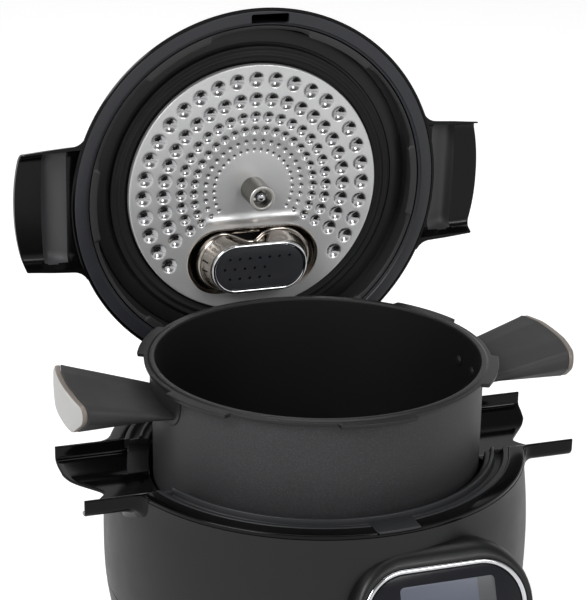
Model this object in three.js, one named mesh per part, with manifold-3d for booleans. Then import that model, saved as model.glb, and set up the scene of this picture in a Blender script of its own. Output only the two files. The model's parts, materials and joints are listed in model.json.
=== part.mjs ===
// An electric pressure cooker, shown open: the lid stands on its rear hinge and the pot is lifted out.
// Millimetres, +Z up, -Y is the front. Pieces of the lid and the pot are drawn where they sit when the
// cooker is closed, and their groups then open the lid and lift the pot.
import * as THREE from "three";
import Module from "manifold-3d";
import { mergeVertices } from "three/addons/utils/BufferGeometryUtils.js";

const wasm = await Module();
wasm.setup();

// ---- driving dimensions ----
const gap = 0.3; // between pieces that touch or are screwed together
const running = 0.5; // between pieces that slide or turn on each other
const roundSteps = 36; // facets of a large circle
const smallSteps = 12; // facets of a small circle

// pot
const potInside = 116.5; // radius of the inner wall
const potWall = 2;
const potHeight = 144;
const potFloor = 4;
const potLift = 58; // how far it is lifted out while the lid is open
const flangeWidth = 6; // beyond the pot wall
const flangeThick = 3.5;
const lugWidth = 5; // beyond the flange
const lugHalfAngle = 13; // degrees
const lugAngles = [-150, -90, -30, 30, 150]; // degrees from +X; the rear has none, by the hinge

// base
const footHeight = 8;
const footRadius = 11;
const footCircle = 112;
const rimHeight = 215; // top of the glossy crown above the table
const crownRadius = 151.2;
const crownInside = 140;
const crownDepth = 3;
const housingWall = 3;
const tubClearance = 3; // between the pot wall and the tub
const tubWall = 1.6;
const gutterDepth = 4.5;
const gutterLipWidth = 6.5; // its raised inner lip, beyond the tub wall
const heaterThick = 9.5;
const heaterInset = 6.5; // edge of the heating plate, inside the pot wall
const seatedRimAboveCrown = 11.7; // pot rim above the crown when the pot is down

// side channels of the crown, where the pot handles lie
const channelTip = 183;
const channelHalfWidth = 48.5;
const channelDepth = 20.5;
const channelWall = 2.6;
const scallopReach = 151; // how far out the channel floor goes at its middle

// pot handles
const handleRootHalfWidth = 26;
const handleTipHalfWidth = 43.5;
const handleTip = 181;
const handleRootTop = -18; // below the rim
const handleTipTop = 0;
const handleBottom = -29;
const capThick = 8; // at the middle of its bulged face

// lid
const openAngle = 87.5; // degrees
const hingeBehindAxis = 148; // hinge axis behind the axis of the pot
const hingeBelowCrown = 1;
const ringUnderRadius = 143.3; // flat ring under the lid
const ringInside = 132.6;
const ringThick = 3;
const lidAboveCrown = 1; // flat ring above the crown when closed
const coverRadius = 145.6;
const coverWall = 2.4;
const coverHeight = 66;
const skirtHeight = 24;
const discRadius = 99.4; // stainless inner lid
const discThick = 1.2;
const discBelowPlate = 8.5;
const plateBottom = 20; // pressure plate above the crown
const plateThick = 3;
const plateRadius = 131;
const gasketInside = 101;
const gasketOutside = 113;
const lockInside = 130.3;
const lockOutside = 131.7;
const jawInside = 126;
const jawThick = 4;
const jawHalfAngle = 12;
const jawBelowLug = 1.7;

// lid fittings
const coverCentre = 57; // valve cover behind the lid's centre
const coverHalfLength = 54;
const coverHalfWidth = 26;
const coverDrop = 20.5; // how far its face stands below the inner lid
const postRadius = 4;
const nutOutside = 10;
const nutLength = 27;
const lidHandleTip = 186.5;
const lidHandleHalfWidth = 47;
const lidHandleHeight = 24;
const lidHandleClear = 2; // under the lid handle, above the handle of the seated pot
const lidHandleSide = 2.7; // wall at each end of the lid handle; the pot handle fits between them
const knobRadius = 41;
const knobHeight = 24;
const buttonRadius = 12;
const steamRadius = 13;
const steamPlace = { x: 62, y: 46 };

// control panel
const panelCentreX = 34;
const panelTilt = 22; // degrees from upright
const panelWidth = 118;
const panelHeight = 92;
const panelCorner = 32;
const panelTopDrop = 25; // below the crown
const panelTopReach = 159; // ahead of the pot axis
const frameWidth = 3.6;
const hoodRings = [
  { margin: 4, back: 0 },
  { margin: 12, back: 5 },
  { margin: 16, back: 14 },
  { margin: 24, back: 76 },
]; // how far the hood stands round the panel, at four depths behind its face
const hoodLedge = 4.6; // seat of the chrome frame
const displaySize = { width: 68, height: 36, drop: 12, right: 3 };
const dialRadius = 15;
const startRadius = 9.5;
const dialDrop = 68;

// rear fittings
const pinRadius = 3.5;
const knuckleRadius = 7;
const earInside = 28;
const earThick = 8;
const bracketSeat = 10.2; // front of the hinge bracket, inside the edge of the crown
const armSeat = 6.6; // front of the hinge arm, inside the edge of the cover
const springHalf = 8.5;
const cupSize = { width: 62, depth: 24, height: 42 };
const inletSize = { width: 24, height: 18 };
const catchBlock = { x: 6.5, width: 31, depth: 17, sunk: 1.5 };
const catchSlot = { x: 6.5, width: 29, depth: 7 };

// ---- worked out from them ----
const potOutside = potInside + potWall;
const flangeRadius = potOutside + flangeWidth;
const lugRadius = flangeRadius + lugWidth;
const heaterRadius = potInside - heaterInset;
const seatedRim = rimHeight + seatedRimAboveCrown;
const potBottom = seatedRim - potHeight;
const heaterTop = potBottom - 0.7;
const tubInside = potOutside + tubClearance;
const tubOutside = tubInside + tubWall;
const gutterLip = tubInside + gutterLipWidth;
const tubFloor = heaterTop - heaterThick - gap;
const hinge = { y: hingeBehindAxis, z: rimHeight - hingeBelowCrown };
const bracketFront = crownRadius - bracketSeat;
const armFront = coverRadius - armSeat;
const lidBottom = rimHeight + lidAboveCrown;
const lugBottom = seatedRim - flangeThick;
const jawTop = lugBottom - jawBelowLug;
const plateZ = rimHeight + plateBottom;
const discZ = plateZ - discBelowPlate;
const coverTop = lidBottom + coverHeight;

// ---- materials ----
const satin = (color, roughness, metalness = 0) =>
  new THREE.MeshStandardMaterial({ color, roughness, metalness });
const looks = {
  housing: () => satin(0x303134, 0.42),
  gloss: () => satin(0x0b0b0d, 0.12),
  trim: () => satin(0x3b3c3d, 0.6),
  potCoat: () => satin(0x3a3a3c, 0.5, 0.5),
  handle: () => satin(0x3d3d3e, 0.6),
  silver: () => satin(0xc9c9c9, 0.3, 0.6),
  steel: () => satin(0xc4c6c9, 0.28, 1),
  chrome: () => satin(0xd8d9dc, 0.1, 1),
  rubber: () => satin(0x141414, 0.7),
  ring: () => satin(0x37383c, 0.4),
  aluminium: () => satin(0xa9abad, 0.45, 1),
  glass: () => satin(0x0d0e12, 0.06),
  screen: () => satin(0x555b6c, 0.3),
  board: () => satin(0x1f5b3a, 0.6),
};

// ---- solids ----
const radians = (degrees) => THREE.MathUtils.degToRad(degrees);

function toSolid(geometry) {
  const bare = geometry.index ? geometry.clone() : geometry;
  bare.deleteAttribute("normal");
  bare.deleteAttribute("uv");
  const merged = mergeVertices(bare, 1e-3);
  const index = Uint32Array.from(merged.index.array);
  const position = Float32Array.from(merged.attributes.position.array);
  if (signedVolume(position, index) < 0) {
    for (let i = 0; i < index.length; i += 3) {
      [index[i], index[i + 1]] = [index[i + 1], index[i]];
    }
  }
  return new wasm.Manifold(new wasm.Mesh({ numProp: 3, vertProperties: position, triVerts: index }));
}

function signedVolume(position, index) {
  const corner = [new THREE.Vector3(), new THREE.Vector3(), new THREE.Vector3()];
  let total = 0;
  for (let i = 0; i < index.length; i += 3) {
    corner.forEach((c, k) => c.fromArray(position, 3 * index[i + k]));
    total += corner[0].dot(corner[1].cross(corner[2])) / 6;
  }
  return total;
}

function toGeometry(solid) {
  const mesh = solid.getMesh();
  const geometry = new THREE.BufferGeometry();
  geometry.setAttribute("position", new THREE.BufferAttribute(mesh.vertProperties, 3));
  geometry.setIndex(new THREE.BufferAttribute(mesh.triVerts, 1));
  geometry.computeVertexNormals();
  return geometry;
}

// a closed profile of [radius, height] points turned about the Z axis
function turned(profile, steps = roundSteps) {
  const points = profile.map(([radius, height]) => new THREE.Vector2(radius, height));
  const onAxis = profile[0][0] === 0 && profile.at(-1)[0] === 0;
  if (!onAxis) points.push(points[0].clone());
  return toSolid(new THREE.LatheGeometry(points, steps).rotateX(Math.PI / 2));
}

function disc(radius, bottom, top, steps = smallSteps) {
  return turned([[0, bottom], [radius, bottom], [radius, top], [0, top]], steps);
}

function tube(inner, outer, bottom, top, steps = smallSteps) {
  return turned([[inner, bottom], [outer, bottom], [outer, top], [inner, top]], steps);
}

function block([x0, y0, z0], [x1, y1, z1]) {
  const box = new THREE.BoxGeometry(x1 - x0, y1 - y0, z1 - z0);
  return toSolid(box.translate((x0 + x1) / 2, (y0 + y1) / 2, (z0 + z1) / 2));
}

function upright(shape, bottom, top, curveSegments = 12) {
  const geometry = new THREE.ExtrudeGeometry(shape, {
    depth: top - bottom,
    bevelEnabled: false,
    curveSegments,
  });
  return toSolid(geometry.translate(0, 0, bottom));
}

// a shape drawn in (y, z) pushed along X
function alongX(shape, from, to, curveSegments = 12) {
  const geometry = new THREE.ExtrudeGeometry(shape, {
    depth: to - from,
    bevelEnabled: false,
    curveSegments,
  });
  const turn = new THREE.Matrix4().makeBasis(
    new THREE.Vector3(0, 1, 0),
    new THREE.Vector3(0, 0, 1),
    new THREE.Vector3(1, 0, 0)
  );
  return toSolid(geometry.applyMatrix4(turn).translate(from, 0, 0));
}

// a shape drawn in (x, z) pushed along Y
function alongY(shape, from, to) {
  const geometry = new THREE.ExtrudeGeometry(shape, { depth: to - from, bevelEnabled: false });
  return toSolid(geometry.rotateX(Math.PI / 2).translate(0, to, 0));
}

function outline(points) {
  return new THREE.Shape(points.map(([x, y]) => new THREE.Vector2(x, y)));
}

function roundedRect(width, height, corner, aside = 0) {
  const [w, h] = [width / 2, height / 2];
  const shape = new THREE.Shape();
  shape.absarc(aside + w - corner, h - corner, corner, 0, Math.PI / 2);
  shape.absarc(aside + corner - w, h - corner, corner, Math.PI / 2, Math.PI);
  shape.absarc(aside + corner - w, corner - h, corner, Math.PI, 1.5 * Math.PI);
  shape.absarc(aside + w - corner, corner - h, corner, 1.5 * Math.PI, 2 * Math.PI);
  return shape;
}

// a piece of ring between two angles, in degrees from +X
function arcBlock(inner, outer, middle, halfAngle, bottom, top) {
  const [from, to] = [radians(middle - halfAngle), radians(middle + halfAngle)];
  const shape = new THREE.Shape();
  shape.absarc(0, 0, outer, from, to, false);
  shape.absarc(0, 0, inner, to, from, true);
  return upright(shape, bottom, top, 5);
}

const joined = (first, ...rest) => rest.reduce((sum, solid) => sum.add(solid), first);
const cut = (first, ...rest) => rest.reduce((left, solid) => left.subtract(solid), first);
const mirrored = (solid) => solid.mirror([1, 0, 0]);

function place(group, name, solid, material) {
  const mesh = new THREE.Mesh(toGeometry(solid), material());
  mesh.name = name;
  group.add(mesh);
  return mesh;
}

const cooker = new THREE.Group();
const base = new THREE.Group();
const potGroup = new THREE.Group();
const lidHinge = new THREE.Group();
const lid = new THREE.Group();
potGroup.position.z = potLift;
lidHinge.position.set(0, hinge.y, hinge.z);
lidHinge.rotation.x = -radians(openAngle);
lid.position.set(0, -hinge.y, -hinge.z);
lidHinge.add(lid);
cooker.add(base, potGroup, lidHinge);

// ---- cuts that several base pieces share ----
const notchHalf = channelHalfWidth + gap;
const rearHalf = earInside + earThick + 1.2;
const belowChannel = rimHeight - channelDepth - gap;
const sideNotch = block([-200, -notchHalf, belowChannel], [200, notchHalf, rimHeight + 20]);
const rearNotch = block(
  [-rearHalf, bracketFront - 3.5, rimHeight - 22],
  [rearHalf, 200, rimHeight + 20]
);

// ---- outer housing ----
const housingProfile = [
  [140, footHeight + 4],
  [143, 26],
  [146, 56],
  [150, 92],
  [153.6, 112],
  [155, 128],
  [155, 165],
  [153.4, 187],
  [crownRadius, rimHeight - crownDepth - gap],
];
const grown = (profile, by) => profile.map(([radius, height]) => [radius + by, height]);
const housingShell = turned([...housingProfile, ...grown(housingProfile, -housingWall).reverse()]);
const housingCore = (by) =>
  turned([[0, -5], [140 + by, -5], ...grown(housingProfile, by), [0, rimHeight - crownDepth]]);

const bossAngles = [30, 150, 270];
const bossCircle = 129;
const bosses = bossAngles.map((angle) => {
  const [x, y] = [bossCircle * Math.cos(radians(angle)), bossCircle * Math.sin(radians(angle))];
  return { x, y, solid: disc(8, footHeight + 4, 42).translate([x, y, 0]) };
});
const bossWebs = bossAngles.map((angle) =>
  block([bossCircle + 4, -2, footHeight + 5], [139, 2, 42]).rotate([0, 0, angle])
);
const screwHole = ({ x, y }) => disc(2.2, 0, 34, 12).translate([x, y, 0]);

const panelTop = new THREE.Vector3(panelCentreX, -panelTopReach, rimHeight - panelTopDrop);
const panelPose = new THREE.Matrix4()
  .makeTranslation(panelTop)
  .multiply(new THREE.Matrix4().makeRotationX(radians(90 - panelTilt)));
// a shape drawn on the panel (origin at its top edge, y down it), pushed out along its normal
function onPanel(shape, centreY, back, front, curveSegments = 5) {
  const geometry = new THREE.ExtrudeGeometry(shape, {
    depth: front - back,
    bevelEnabled: false,
    curveSegments,
  });
  return toSolid(geometry.translate(0, centreY, back).applyMatrix4(panelPose));
}
const panelMiddle = -panelHeight / 2;
const panelShape = (grow) =>
  roundedRect(panelWidth + 2 * grow, panelHeight + 2 * grow, panelCorner + grow);
const boxDepth = 44;
const controlWell = onPanel(panelShape(-hoodLedge - 2.5), panelMiddle, -boxDepth - 30, 5);

const inletZ = 46;
const inletHole = block(
  [-inletSize.width / 2 - gap, 100, inletZ - inletSize.height / 2 - gap],
  [inletSize.width / 2 + gap, 170, inletZ + inletSize.height / 2 + gap]
);
const cupBottom = 128;
const cupTab = { half: 5, height: 8, reach: 5 };
const tabPlaces = [-20, 20];
const cupFront = 156;
const tabSlot = (x) =>
  block(
    [x - cupTab.half - running, 140, cupBottom + 26 - running],
    [x + cupTab.half + running, 170, cupBottom + 26 + cupTab.height + running]
  );

const housing = cut(
  joined(housingShell, ...bosses.map((boss) => boss.solid), ...bossWebs),
  ...bosses.map(screwHole),
  sideNotch,
  rearNotch,
  controlWell,
  inletHole,
  ...tabPlaces.map(tabSlot)
);
place(base, "outer_housing", housing, looks.housing);

// ---- crown with the two side channels ----
function channel() {
  const [w, t, d] = [channelHalfWidth, channelWall, channelDepth];
  const section = (half, depth, corner) => {
    const shape = new THREE.Shape();
    shape.moveTo(-half, 1);
    shape.lineTo(-half, -depth + corner);
    shape.quadraticCurveTo(-half, -depth, -half + corner * 1.7, -depth);
    shape.lineTo(half - corner * 1.7, -depth);
    shape.quadraticCurveTo(half, -depth, half, -depth + corner);
    shape.lineTo(half, 1);
    return shape;
  };
  const outer = alongX(section(w, d, 12), tubOutside + 1, channelTip, 6);
  const inner = alongX(section(w - t, d - t, 10), tubInside, channelTip + 5, 6);
  const plan = new THREE.Shape();
  plan.moveTo(tubOutside + 1, -60);
  plan.lineTo(channelTip - 1.5, -60);
  plan.lineTo(channelTip, -w + 4);
  plan.quadraticCurveTo(channelTip - 2, -30, 168, -22);
  plan.quadraticCurveTo(scallopReach, -12, scallopReach, 0);
  plan.quadraticCurveTo(scallopReach, 12, 168, 22);
  plan.quadraticCurveTo(channelTip - 2, 30, channelTip, w - 4);
  plan.lineTo(channelTip - 1.5, 60);
  plan.lineTo(tubOutside + 1, 60);
  const wanted = upright(plan, -30, 0, 6);
  return outer.subtract(inner).intersect(wanted).translate([0, 0, rimHeight]);
}
const crownRing = turned([
  [crownInside, rimHeight - crownDepth],
  [crownRadius - 0.3, rimHeight - crownDepth],
  [crownRadius, rimHeight - 1],
  [crownRadius - 1, rimHeight],
  [crownInside, rimHeight],
]);
const channelSpace = block(
  [-200, -channelHalfWidth + 0.5, belowChannel],
  [200, channelHalfWidth - 0.5, rimHeight + 5]
);
const rightChannel = channel();
const catchCut = block(
  [catchBlock.x - catchBlock.width / 2 - gap, -160, rimHeight - catchBlock.sunk],
  [catchBlock.x + catchBlock.width / 2 + gap, -130, rimHeight + 5]
);
const crown = joined(
  cut(crownRing, channelSpace, rearNotch, catchCut),
  rightChannel,
  mirrored(rightChannel)
);
place(base, "crown", crown, looks.gloss);

// ---- gutter that catches drips, front and rear halves ----
const gutterRing = turned([
  [tubInside + 0.5, rimHeight - 6.9],
  [crownInside - gap, rimHeight - 6.9],
  [crownInside - gap, rimHeight],
  [crownInside - 1.6, rimHeight],
  [crownInside - 3, rimHeight - gutterDepth],
  [gutterLip + 2.5, rimHeight - gutterDepth],
  [gutterLip + 1, rimHeight + 1.3],
  [gutterLip - 0.5, rimHeight + 1.3],
  [tubInside + 0.5, rimHeight - 2],
]);
const gutterEnds = block([-200, -notchHalf, 0], [200, notchHalf, 400]);
const frontHalf = block([-200, -200, 0], [200, 0, 400]);
const gutter = cut(gutterRing, gutterEnds);
place(base, "gutter_front", cut(gutter.intersect(frontHalf), catchCut), looks.trim);
place(base, "gutter_rear", cut(gutter, frontHalf, rearNotch), looks.trim);

const blockTop = rimHeight + 0.6;
const catchSolid = cut(
  block(
    [catchBlock.x - catchBlock.width / 2, -crownRadius + 0.2, rimHeight - catchBlock.sunk + gap],
    [catchBlock.x + catchBlock.width / 2, -crownRadius + catchBlock.depth, blockTop]
  ),
  turned([[crownRadius + 0.6, 0], [260, 0], [260, 400], [crownRadius + 0.6, 400]])
);
place(base, "catch_block", catchSolid, looks.trim);

// ---- inner tub, heating plate, sensor ----
const tubTop = rimHeight - 7.2;
const tub = cut(
  turned([
    [24, tubFloor - tubWall],
    [tubOutside, tubFloor - tubWall],
    [tubOutside, tubTop - 2],
    [crownRadius - housingWall - 0.8, tubTop - 2],
    [crownRadius - housingWall - 0.8, tubTop],
    [tubInside, tubTop],
    [tubInside, tubFloor],
    [24, tubFloor],
  ]),
  block([-200, -notchHalf, belowChannel], [200, notchHalf, 400]),
  rearNotch
);
place(base, "inner_tub", tub, looks.aluminium);

const heaterHole = 14;
place(
  base,
  "heating_plate",
  turned([
    [heaterHole, heaterTop - heaterThick],
    [heaterRadius, heaterTop - heaterThick],
    [heaterRadius, heaterTop - 2],
    [heaterRadius - 2, heaterTop],
    [heaterHole, heaterTop],
  ]),
  looks.aluminium
);
const sensorTravel = 3;
const sensorRadius = heaterHole - 1.5;
const sensorTop = potBottom - gap;
const sensorFoot = heaterTop - heaterThick - 6;
place(
  base,
  "sensor_cap",
  turned([
    [0, sensorTop - 3],
    [sensorRadius - 2.2, sensorTop - 3],
    [sensorRadius - 2.2, sensorFoot + sensorTravel],
    [sensorRadius, sensorFoot + sensorTravel],
    [sensorRadius, sensorTop - 1],
    [sensorRadius - 1, sensorTop],
    [0, sensorTop],
  ], smallSteps),
  looks.aluminium
);

const stepsPerTurn = 8;
function coil(radius, wire, turns, height) {
  class Helix extends THREE.Curve {
    getPoint(t, target = new THREE.Vector3()) {
      const angle = 2 * Math.PI * turns * t;
      return target.set(radius * Math.cos(angle), radius * Math.sin(angle), height * t);
    }
  }
  const section = new THREE.Shape();
  section.absarc(0, 0, wire, 0, 2 * Math.PI);
  const geometry = new THREE.ExtrudeGeometry(section, {
    steps: turns * stepsPerTurn,
    extrudePath: new Helix(),
    curveSegments: 2,
    bevelEnabled: false,
  });
  return toSolid(geometry);
}
const springWire = 0.8;
const springPost = 40; // moulded post on the bottom plate that carries the sensor spring
const springHeight = sensorTop - 3 - gap - springPost - 2 * springWire;
place(
  base,
  "sensor_spring",
  coil(sensorRadius - 5.2, springWire, 5, springHeight).translate([0, 0, springPost + gap + springWire]),
  looks.steel
);

// ---- bottom plate, feet, screws ----
const bottomRadius = 139;
const footPlaces = {
  foot_front_left: -135,
  foot_front_right: -45,
  foot_rear_left: 135,
  foot_rear_right: 45,
};
const bottomPlate = cut(
  joined(
    turned([
      [0, footHeight],
      [bottomRadius - 3, footHeight],
      [bottomRadius, footHeight + 3 - gap],
      [bottomRadius, footHeight + 4 - gap],
      [0, footHeight + 4 - gap],
    ]),
    disc(10, footHeight + 1, springPost)
  ),
  ...bosses.map(screwHole)
);
place(base, "bottom_plate", bottomPlate, looks.trim);
for (const [name, angle] of Object.entries(footPlaces)) {
  const [x, y] = [footCircle * Math.cos(radians(angle)), footCircle * Math.sin(radians(angle))];
  const foot = turned([
    [0, 0],
    [footRadius - 2, 0],
    [footRadius, 2],
    [footRadius, footHeight - gap],
    [0, footHeight - gap],
  ], smallSteps);
  place(base, name, foot.translate([x, y, 0]), looks.rubber);
}
const screw = (length) =>
  joined(disc(4, 0, 2.4, 12), disc(1.9, 2, 2 + length, 12));
bosses.forEach((boss, i) => {
  const head = footHeight - 2.4 - gap;
  place(base, `bottom_screw_${i + 1}`, screw(22).translate([boss.x, boss.y, head]), looks.steel);
});

// ---- control panel ----
const hoodLeaf = 0.2; // thickness of the outlines that the hood is stretched over
const hoodSolid = wasm.Manifold.hull(
  hoodRings.map(({ margin, back }) => onPanel(panelShape(margin), panelMiddle, -back - hoodLeaf, -back))
);
const hood = cut(
  hoodSolid,
  block([-300, -300, -100], [300, 300, footHeight + 4]),
  housingCore(gap),
  onPanel(panelShape(gap), panelMiddle, -3, 20),
  onPanel(panelShape(-hoodLedge), panelMiddle, -boxDepth - 60, 20)
);
place(base, "control_hood", hood, looks.housing);

const frontFace = 1.2;
place(
  base,
  "panel_frame",
  cut(
    onPanel(panelShape(0), panelMiddle, -3 + gap, frontFace),
    onPanel(panelShape(-frameWidth), panelMiddle, -10, 20)
  ),
  looks.chrome
);
const dialPlace = { x: 0, y: -dialDrop };
const diskShape = (radius) => {
  const shape = new THREE.Shape();
  shape.absarc(0, 0, radius, 0, 2 * Math.PI);
  return shape;
};
const atDial = (radius, back, front) => onPanel(diskShape(radius), dialPlace.y, back, front, 10);
place(
  base,
  "panel_glass",
  cut(
    onPanel(panelShape(-frameWidth - gap), panelMiddle, -2.4, 0),
    atDial(dialRadius + running, -10, 5)
  ),
  looks.glass
);
const displayMiddle = -displaySize.drop - displaySize.height / 2;
const displayShape = roundedRect(displaySize.width, displaySize.height, 3, displaySize.right);
place(
  base,
  "display_module",
  onPanel(displayShape, displayMiddle, -6, -2.4 - gap),
  looks.screen
);
place(
  base,
  "control_board",
  onPanel(panelShape(-hoodLedge - 3), panelMiddle, -14, -12),
  looks.board
);
place(
  base,
  "select_dial",
  cut(atDial(dialRadius, -8, 2), atDial(startRadius + running, -20, 10)),
  looks.gloss
);
place(base, "start_button", atDial(startRadius, -7.2, 1.2), looks.silver);

// ---- power inlet ----
const inletPlane = 152;
const inlet = cut(
  joined(
    block([-17, inletPlane, inletZ - 14], [17, inletPlane + 3, inletZ + 14]),
    block(
      [-inletSize.width / 2, 124, inletZ - inletSize.height / 2],
      [inletSize.width / 2, inletPlane + 1, inletZ + inletSize.height / 2]
    )
  ),
  block([-10, 130, inletZ - 7], [10, 170, inletZ + 7])
);
const inletPins = [[-5.5, -2], [5.5, -2], [0, 2.5]].map(([x, z]) =>
  block([x - 1, 128, inletZ + z - 2], [x + 1, 146, inletZ + z + 2])
);
place(base, "power_inlet", joined(inlet, ...inletPins), looks.rubber);

// ---- condensation cup on the rear ----
const cup = cut(
  joined(
    block(
      [-cupSize.width / 2, cupFront, cupBottom],
      [cupSize.width / 2, cupFront + cupSize.depth, cupBottom + cupSize.height]
    ),
    ...tabPlaces.map((x) =>
      block(
        [x - cupTab.half, cupFront - cupTab.reach, cupBottom + 26],
        [x + cupTab.half, cupFront + 1, cupBottom + 26 + cupTab.height]
      )
    )
  ),
  block(
    [-cupSize.width / 2 + 2, cupFront + 2, cupBottom + 2],
    [cupSize.width / 2 - 2, cupFront + cupSize.depth - 2, cupBottom + cupSize.height + 5]
  )
);
place(base, "condensate_cup", cup, looks.trim);

// ---- hinge ----
const hingeDisk = (radius, from, to, steps = 20) =>
  disc(radius, from, to, steps).rotate([0, 90, 0]).translate([0, hinge.y, hinge.z]);
const ear = (side) => {
  const middleX = side * (earInside + earThick / 2);
  const [from, to] = [middleX - earThick / 2, middleX + earThick / 2];
  return joined(
    hingeDisk(knuckleRadius, from, to),
    block([from, hinge.y - knuckleRadius, rimHeight - 20], [to, hinge.y + knuckleRadius, hinge.z])
  );
};
const bracketHalf = earInside + earThick;
const hingeBracket = cut(
  joined(
    ear(1),
    ear(-1),
    block(
      [-bracketHalf, bracketFront, rimHeight - 20],
      [bracketHalf, hinge.y + knuckleRadius, hinge.z - knuckleRadius - 2]
    )
  ),
  hingeDisk(pinRadius + gap, -60, 60)
);
place(base, "hinge_bracket", hingeBracket, looks.gloss);
place(base, "hinge_pin", hingeDisk(pinRadius, -bracketHalf - 0.5, bracketHalf + 0.5), looks.steel);
const lidSpring = coil(pinRadius + 1.6, 0.9, 6, 2 * springHalf - 3)
  .translate([0, 0, -springHalf + 1.5])
  .rotate([0, 90, 0])
  .translate([0, hinge.y, hinge.z]);
place(base, "hinge_spring", lidSpring, looks.steel);

// ---- pot ----
const lugs = lugAngles.map((angle) =>
  arcBlock(flangeRadius - 2, lugRadius, angle, lugHalfAngle, lugBottom, seatedRim)
);
const rivetPlaces = [-12, 12];
const rivetZ = seatedRim - 23;
const rivetRadius = 2.4;
function rivetAt(side, y, radius, from, to, steps = 10) {
  const shank = disc(radius, from, to, steps)
    .rotate([0, 90, 0])
    .rotate([0, 0, THREE.MathUtils.radToDeg(Math.atan2(y, potInside))])
    .translate([0, 0, rivetZ]);
  return side > 0 ? shank : mirrored(shank);
}
const rivetHole = (side, y) =>
  rivetAt(side, y, rivetRadius + gap, potInside - 10, potOutside + 10);
const rivetHoles = [1, -1].flatMap((side) => rivetPlaces.map((y) => rivetHole(side, y)));
const potShell = turned([
  [0, potBottom],
  [potOutside - 8, potBottom],
  [potOutside - 2, potBottom + 2.5],
  [potOutside, potBottom + 9],
  [potOutside, lugBottom],
  [flangeRadius, lugBottom],
  [flangeRadius, seatedRim - 0.8],
  [potInside + 3.5, seatedRim],
  [potInside + 0.5, seatedRim],
  [potInside, seatedRim - 1],
  [potInside, potBottom + 14],
  [potInside - 3, potBottom + potFloor + 3],
  [potInside - 9, potBottom + potFloor],
  [0, potBottom + potFloor],
]);
place(potGroup, "pot", cut(joined(potShell, ...lugs), ...rivetHoles), looks.potCoat);

const handlePlan = outline([
  [potOutside + 4.6, -handleRootHalfWidth],
  [handleTip, -handleTipHalfWidth],
  [handleTip, handleTipHalfWidth],
  [potOutside + 4.6, handleRootHalfWidth],
]);
const handleSide = outline([
  [potOutside + 1, handleBottom],
  [handleTip + 20, handleBottom],
  [handleTip + 20, handleTipTop],
  [handleTip, handleTipTop],
  [potOutside + 4, handleRootTop],
]);
function handleSection(half, top, bottom) {
  const shape = new THREE.Shape();
  shape.moveTo(-half, top);
  shape.lineTo(-half, bottom + 14);
  shape.quadraticCurveTo(-half + 1, bottom + 4, -half + 17, bottom);
  shape.lineTo(half - 17, bottom);
  shape.quadraticCurveTo(half - 1, bottom + 4, half, bottom + 14);
  shape.lineTo(half, top);
  return shape;
}
const handleBar = (half, top, bottom, from, to) =>
  alongX(handleSection(half, top, bottom), from, to, 5).translate([0, 0, seatedRim]);
const bar = upright(handlePlan, seatedRim - 40, seatedRim + 5)
  .intersect(alongY(handleSide, -60, 60).translate([0, 0, seatedRim]))
  .intersect(handleBar(handleTipHalfWidth, handleTipTop, handleBottom, 100, 200));
const bracketOutside = potOutside + 4.3;
const bracketRight = cut(
  joined(
    arcBlock(potOutside + gap, bracketOutside, 0, 11.5, seatedRim - 30, seatedRim - 8),
    arcBlock(potOutside + gap, flangeRadius - 1, 0, 14.5, seatedRim - 10, lugBottom - gap)
  ),
  ...rivetPlaces.map((y) => rivetHole(1, y))
);
const rivet = (side, y) =>
  joined(
    rivetAt(side, y, 4, potInside - 2.2, potInside - 0.6),
    rivetAt(side, y, rivetRadius, potInside - 1.2, potOutside + 3.6)
  );
const capInset = 0.4; // the cap stands this far inside the outline of the handle
const capPlan = outline([
  [handleTip + gap, -handleTipHalfWidth],
  [handleTip + 2.5, -handleTipHalfWidth],
  [handleTip + 0.8 * capThick, -0.55 * handleTipHalfWidth],
  [handleTip + capThick, 0],
  [handleTip + 0.8 * capThick, 0.55 * handleTipHalfWidth],
  [handleTip + 2.5, handleTipHalfWidth],
  [handleTip + gap, handleTipHalfWidth],
]);
const capRight = upright(capPlan, seatedRim + handleBottom - 5, seatedRim + handleTipTop + 5).intersect(
  handleBar(handleTipHalfWidth - capInset, handleTipTop - capInset, handleBottom + capInset, 150, 220)
);
const sides = { right: 1, left: -1 };
for (const [side, sign] of Object.entries(sides)) {
  const put = (solid) => (sign > 0 ? solid : mirrored(solid));
  const clearOfBracket = tube(0.1, bracketOutside + gap, seatedRim - 60, seatedRim + 20, roundSteps);
  place(potGroup, `bracket_${side}`, put(bracketRight), looks.handle);
  place(potGroup, `pot_handle_${side}`, put(cut(bar, clearOfBracket)), looks.handle);
  place(potGroup, `handle_cap_${side}`, put(capRight), looks.silver);
  place(potGroup, `rivet_${side}_front`, rivet(sign, rivetPlaces[0]), looks.steel);
  place(potGroup, `rivet_${side}_rear`, rivet(sign, rivetPlaces[1]), looks.steel);
}

// ---- lid ----
const rearLidCut = block(
  [-rearHalf - 1, bracketFront - 4.5, 0],
  [rearHalf + 1, 260, rimHeight + 11]
);
const armHalf = earInside - 1;
const armTop = rimHeight + 34;
const armSlot = block([-armHalf - gap, armFront - gap, 0], [armHalf + gap, 260, armTop + gap]);
const coverOuter = [
  [coverRadius, lidBottom],
  [coverRadius, lidBottom + skirtHeight],
  [141, lidBottom + skirtHeight + 14],
  [122, lidBottom + coverHeight - 12],
  [92, lidBottom + coverHeight - 2],
  [60, coverTop],
  [0, coverTop],
];
const coverInner = [
  [0, coverTop - coverWall],
  [60, coverTop - coverWall],
  [91, lidBottom + coverHeight - 2 - coverWall],
  [120, lidBottom + coverHeight - 14],
  [138.5, lidBottom + skirtHeight + 12],
  [ringUnderRadius + gap, lidBottom + skirtHeight],
  [ringUnderRadius + gap, lidBottom],
];
const shaftRadius = 9;
const steamBore = 6;
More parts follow.
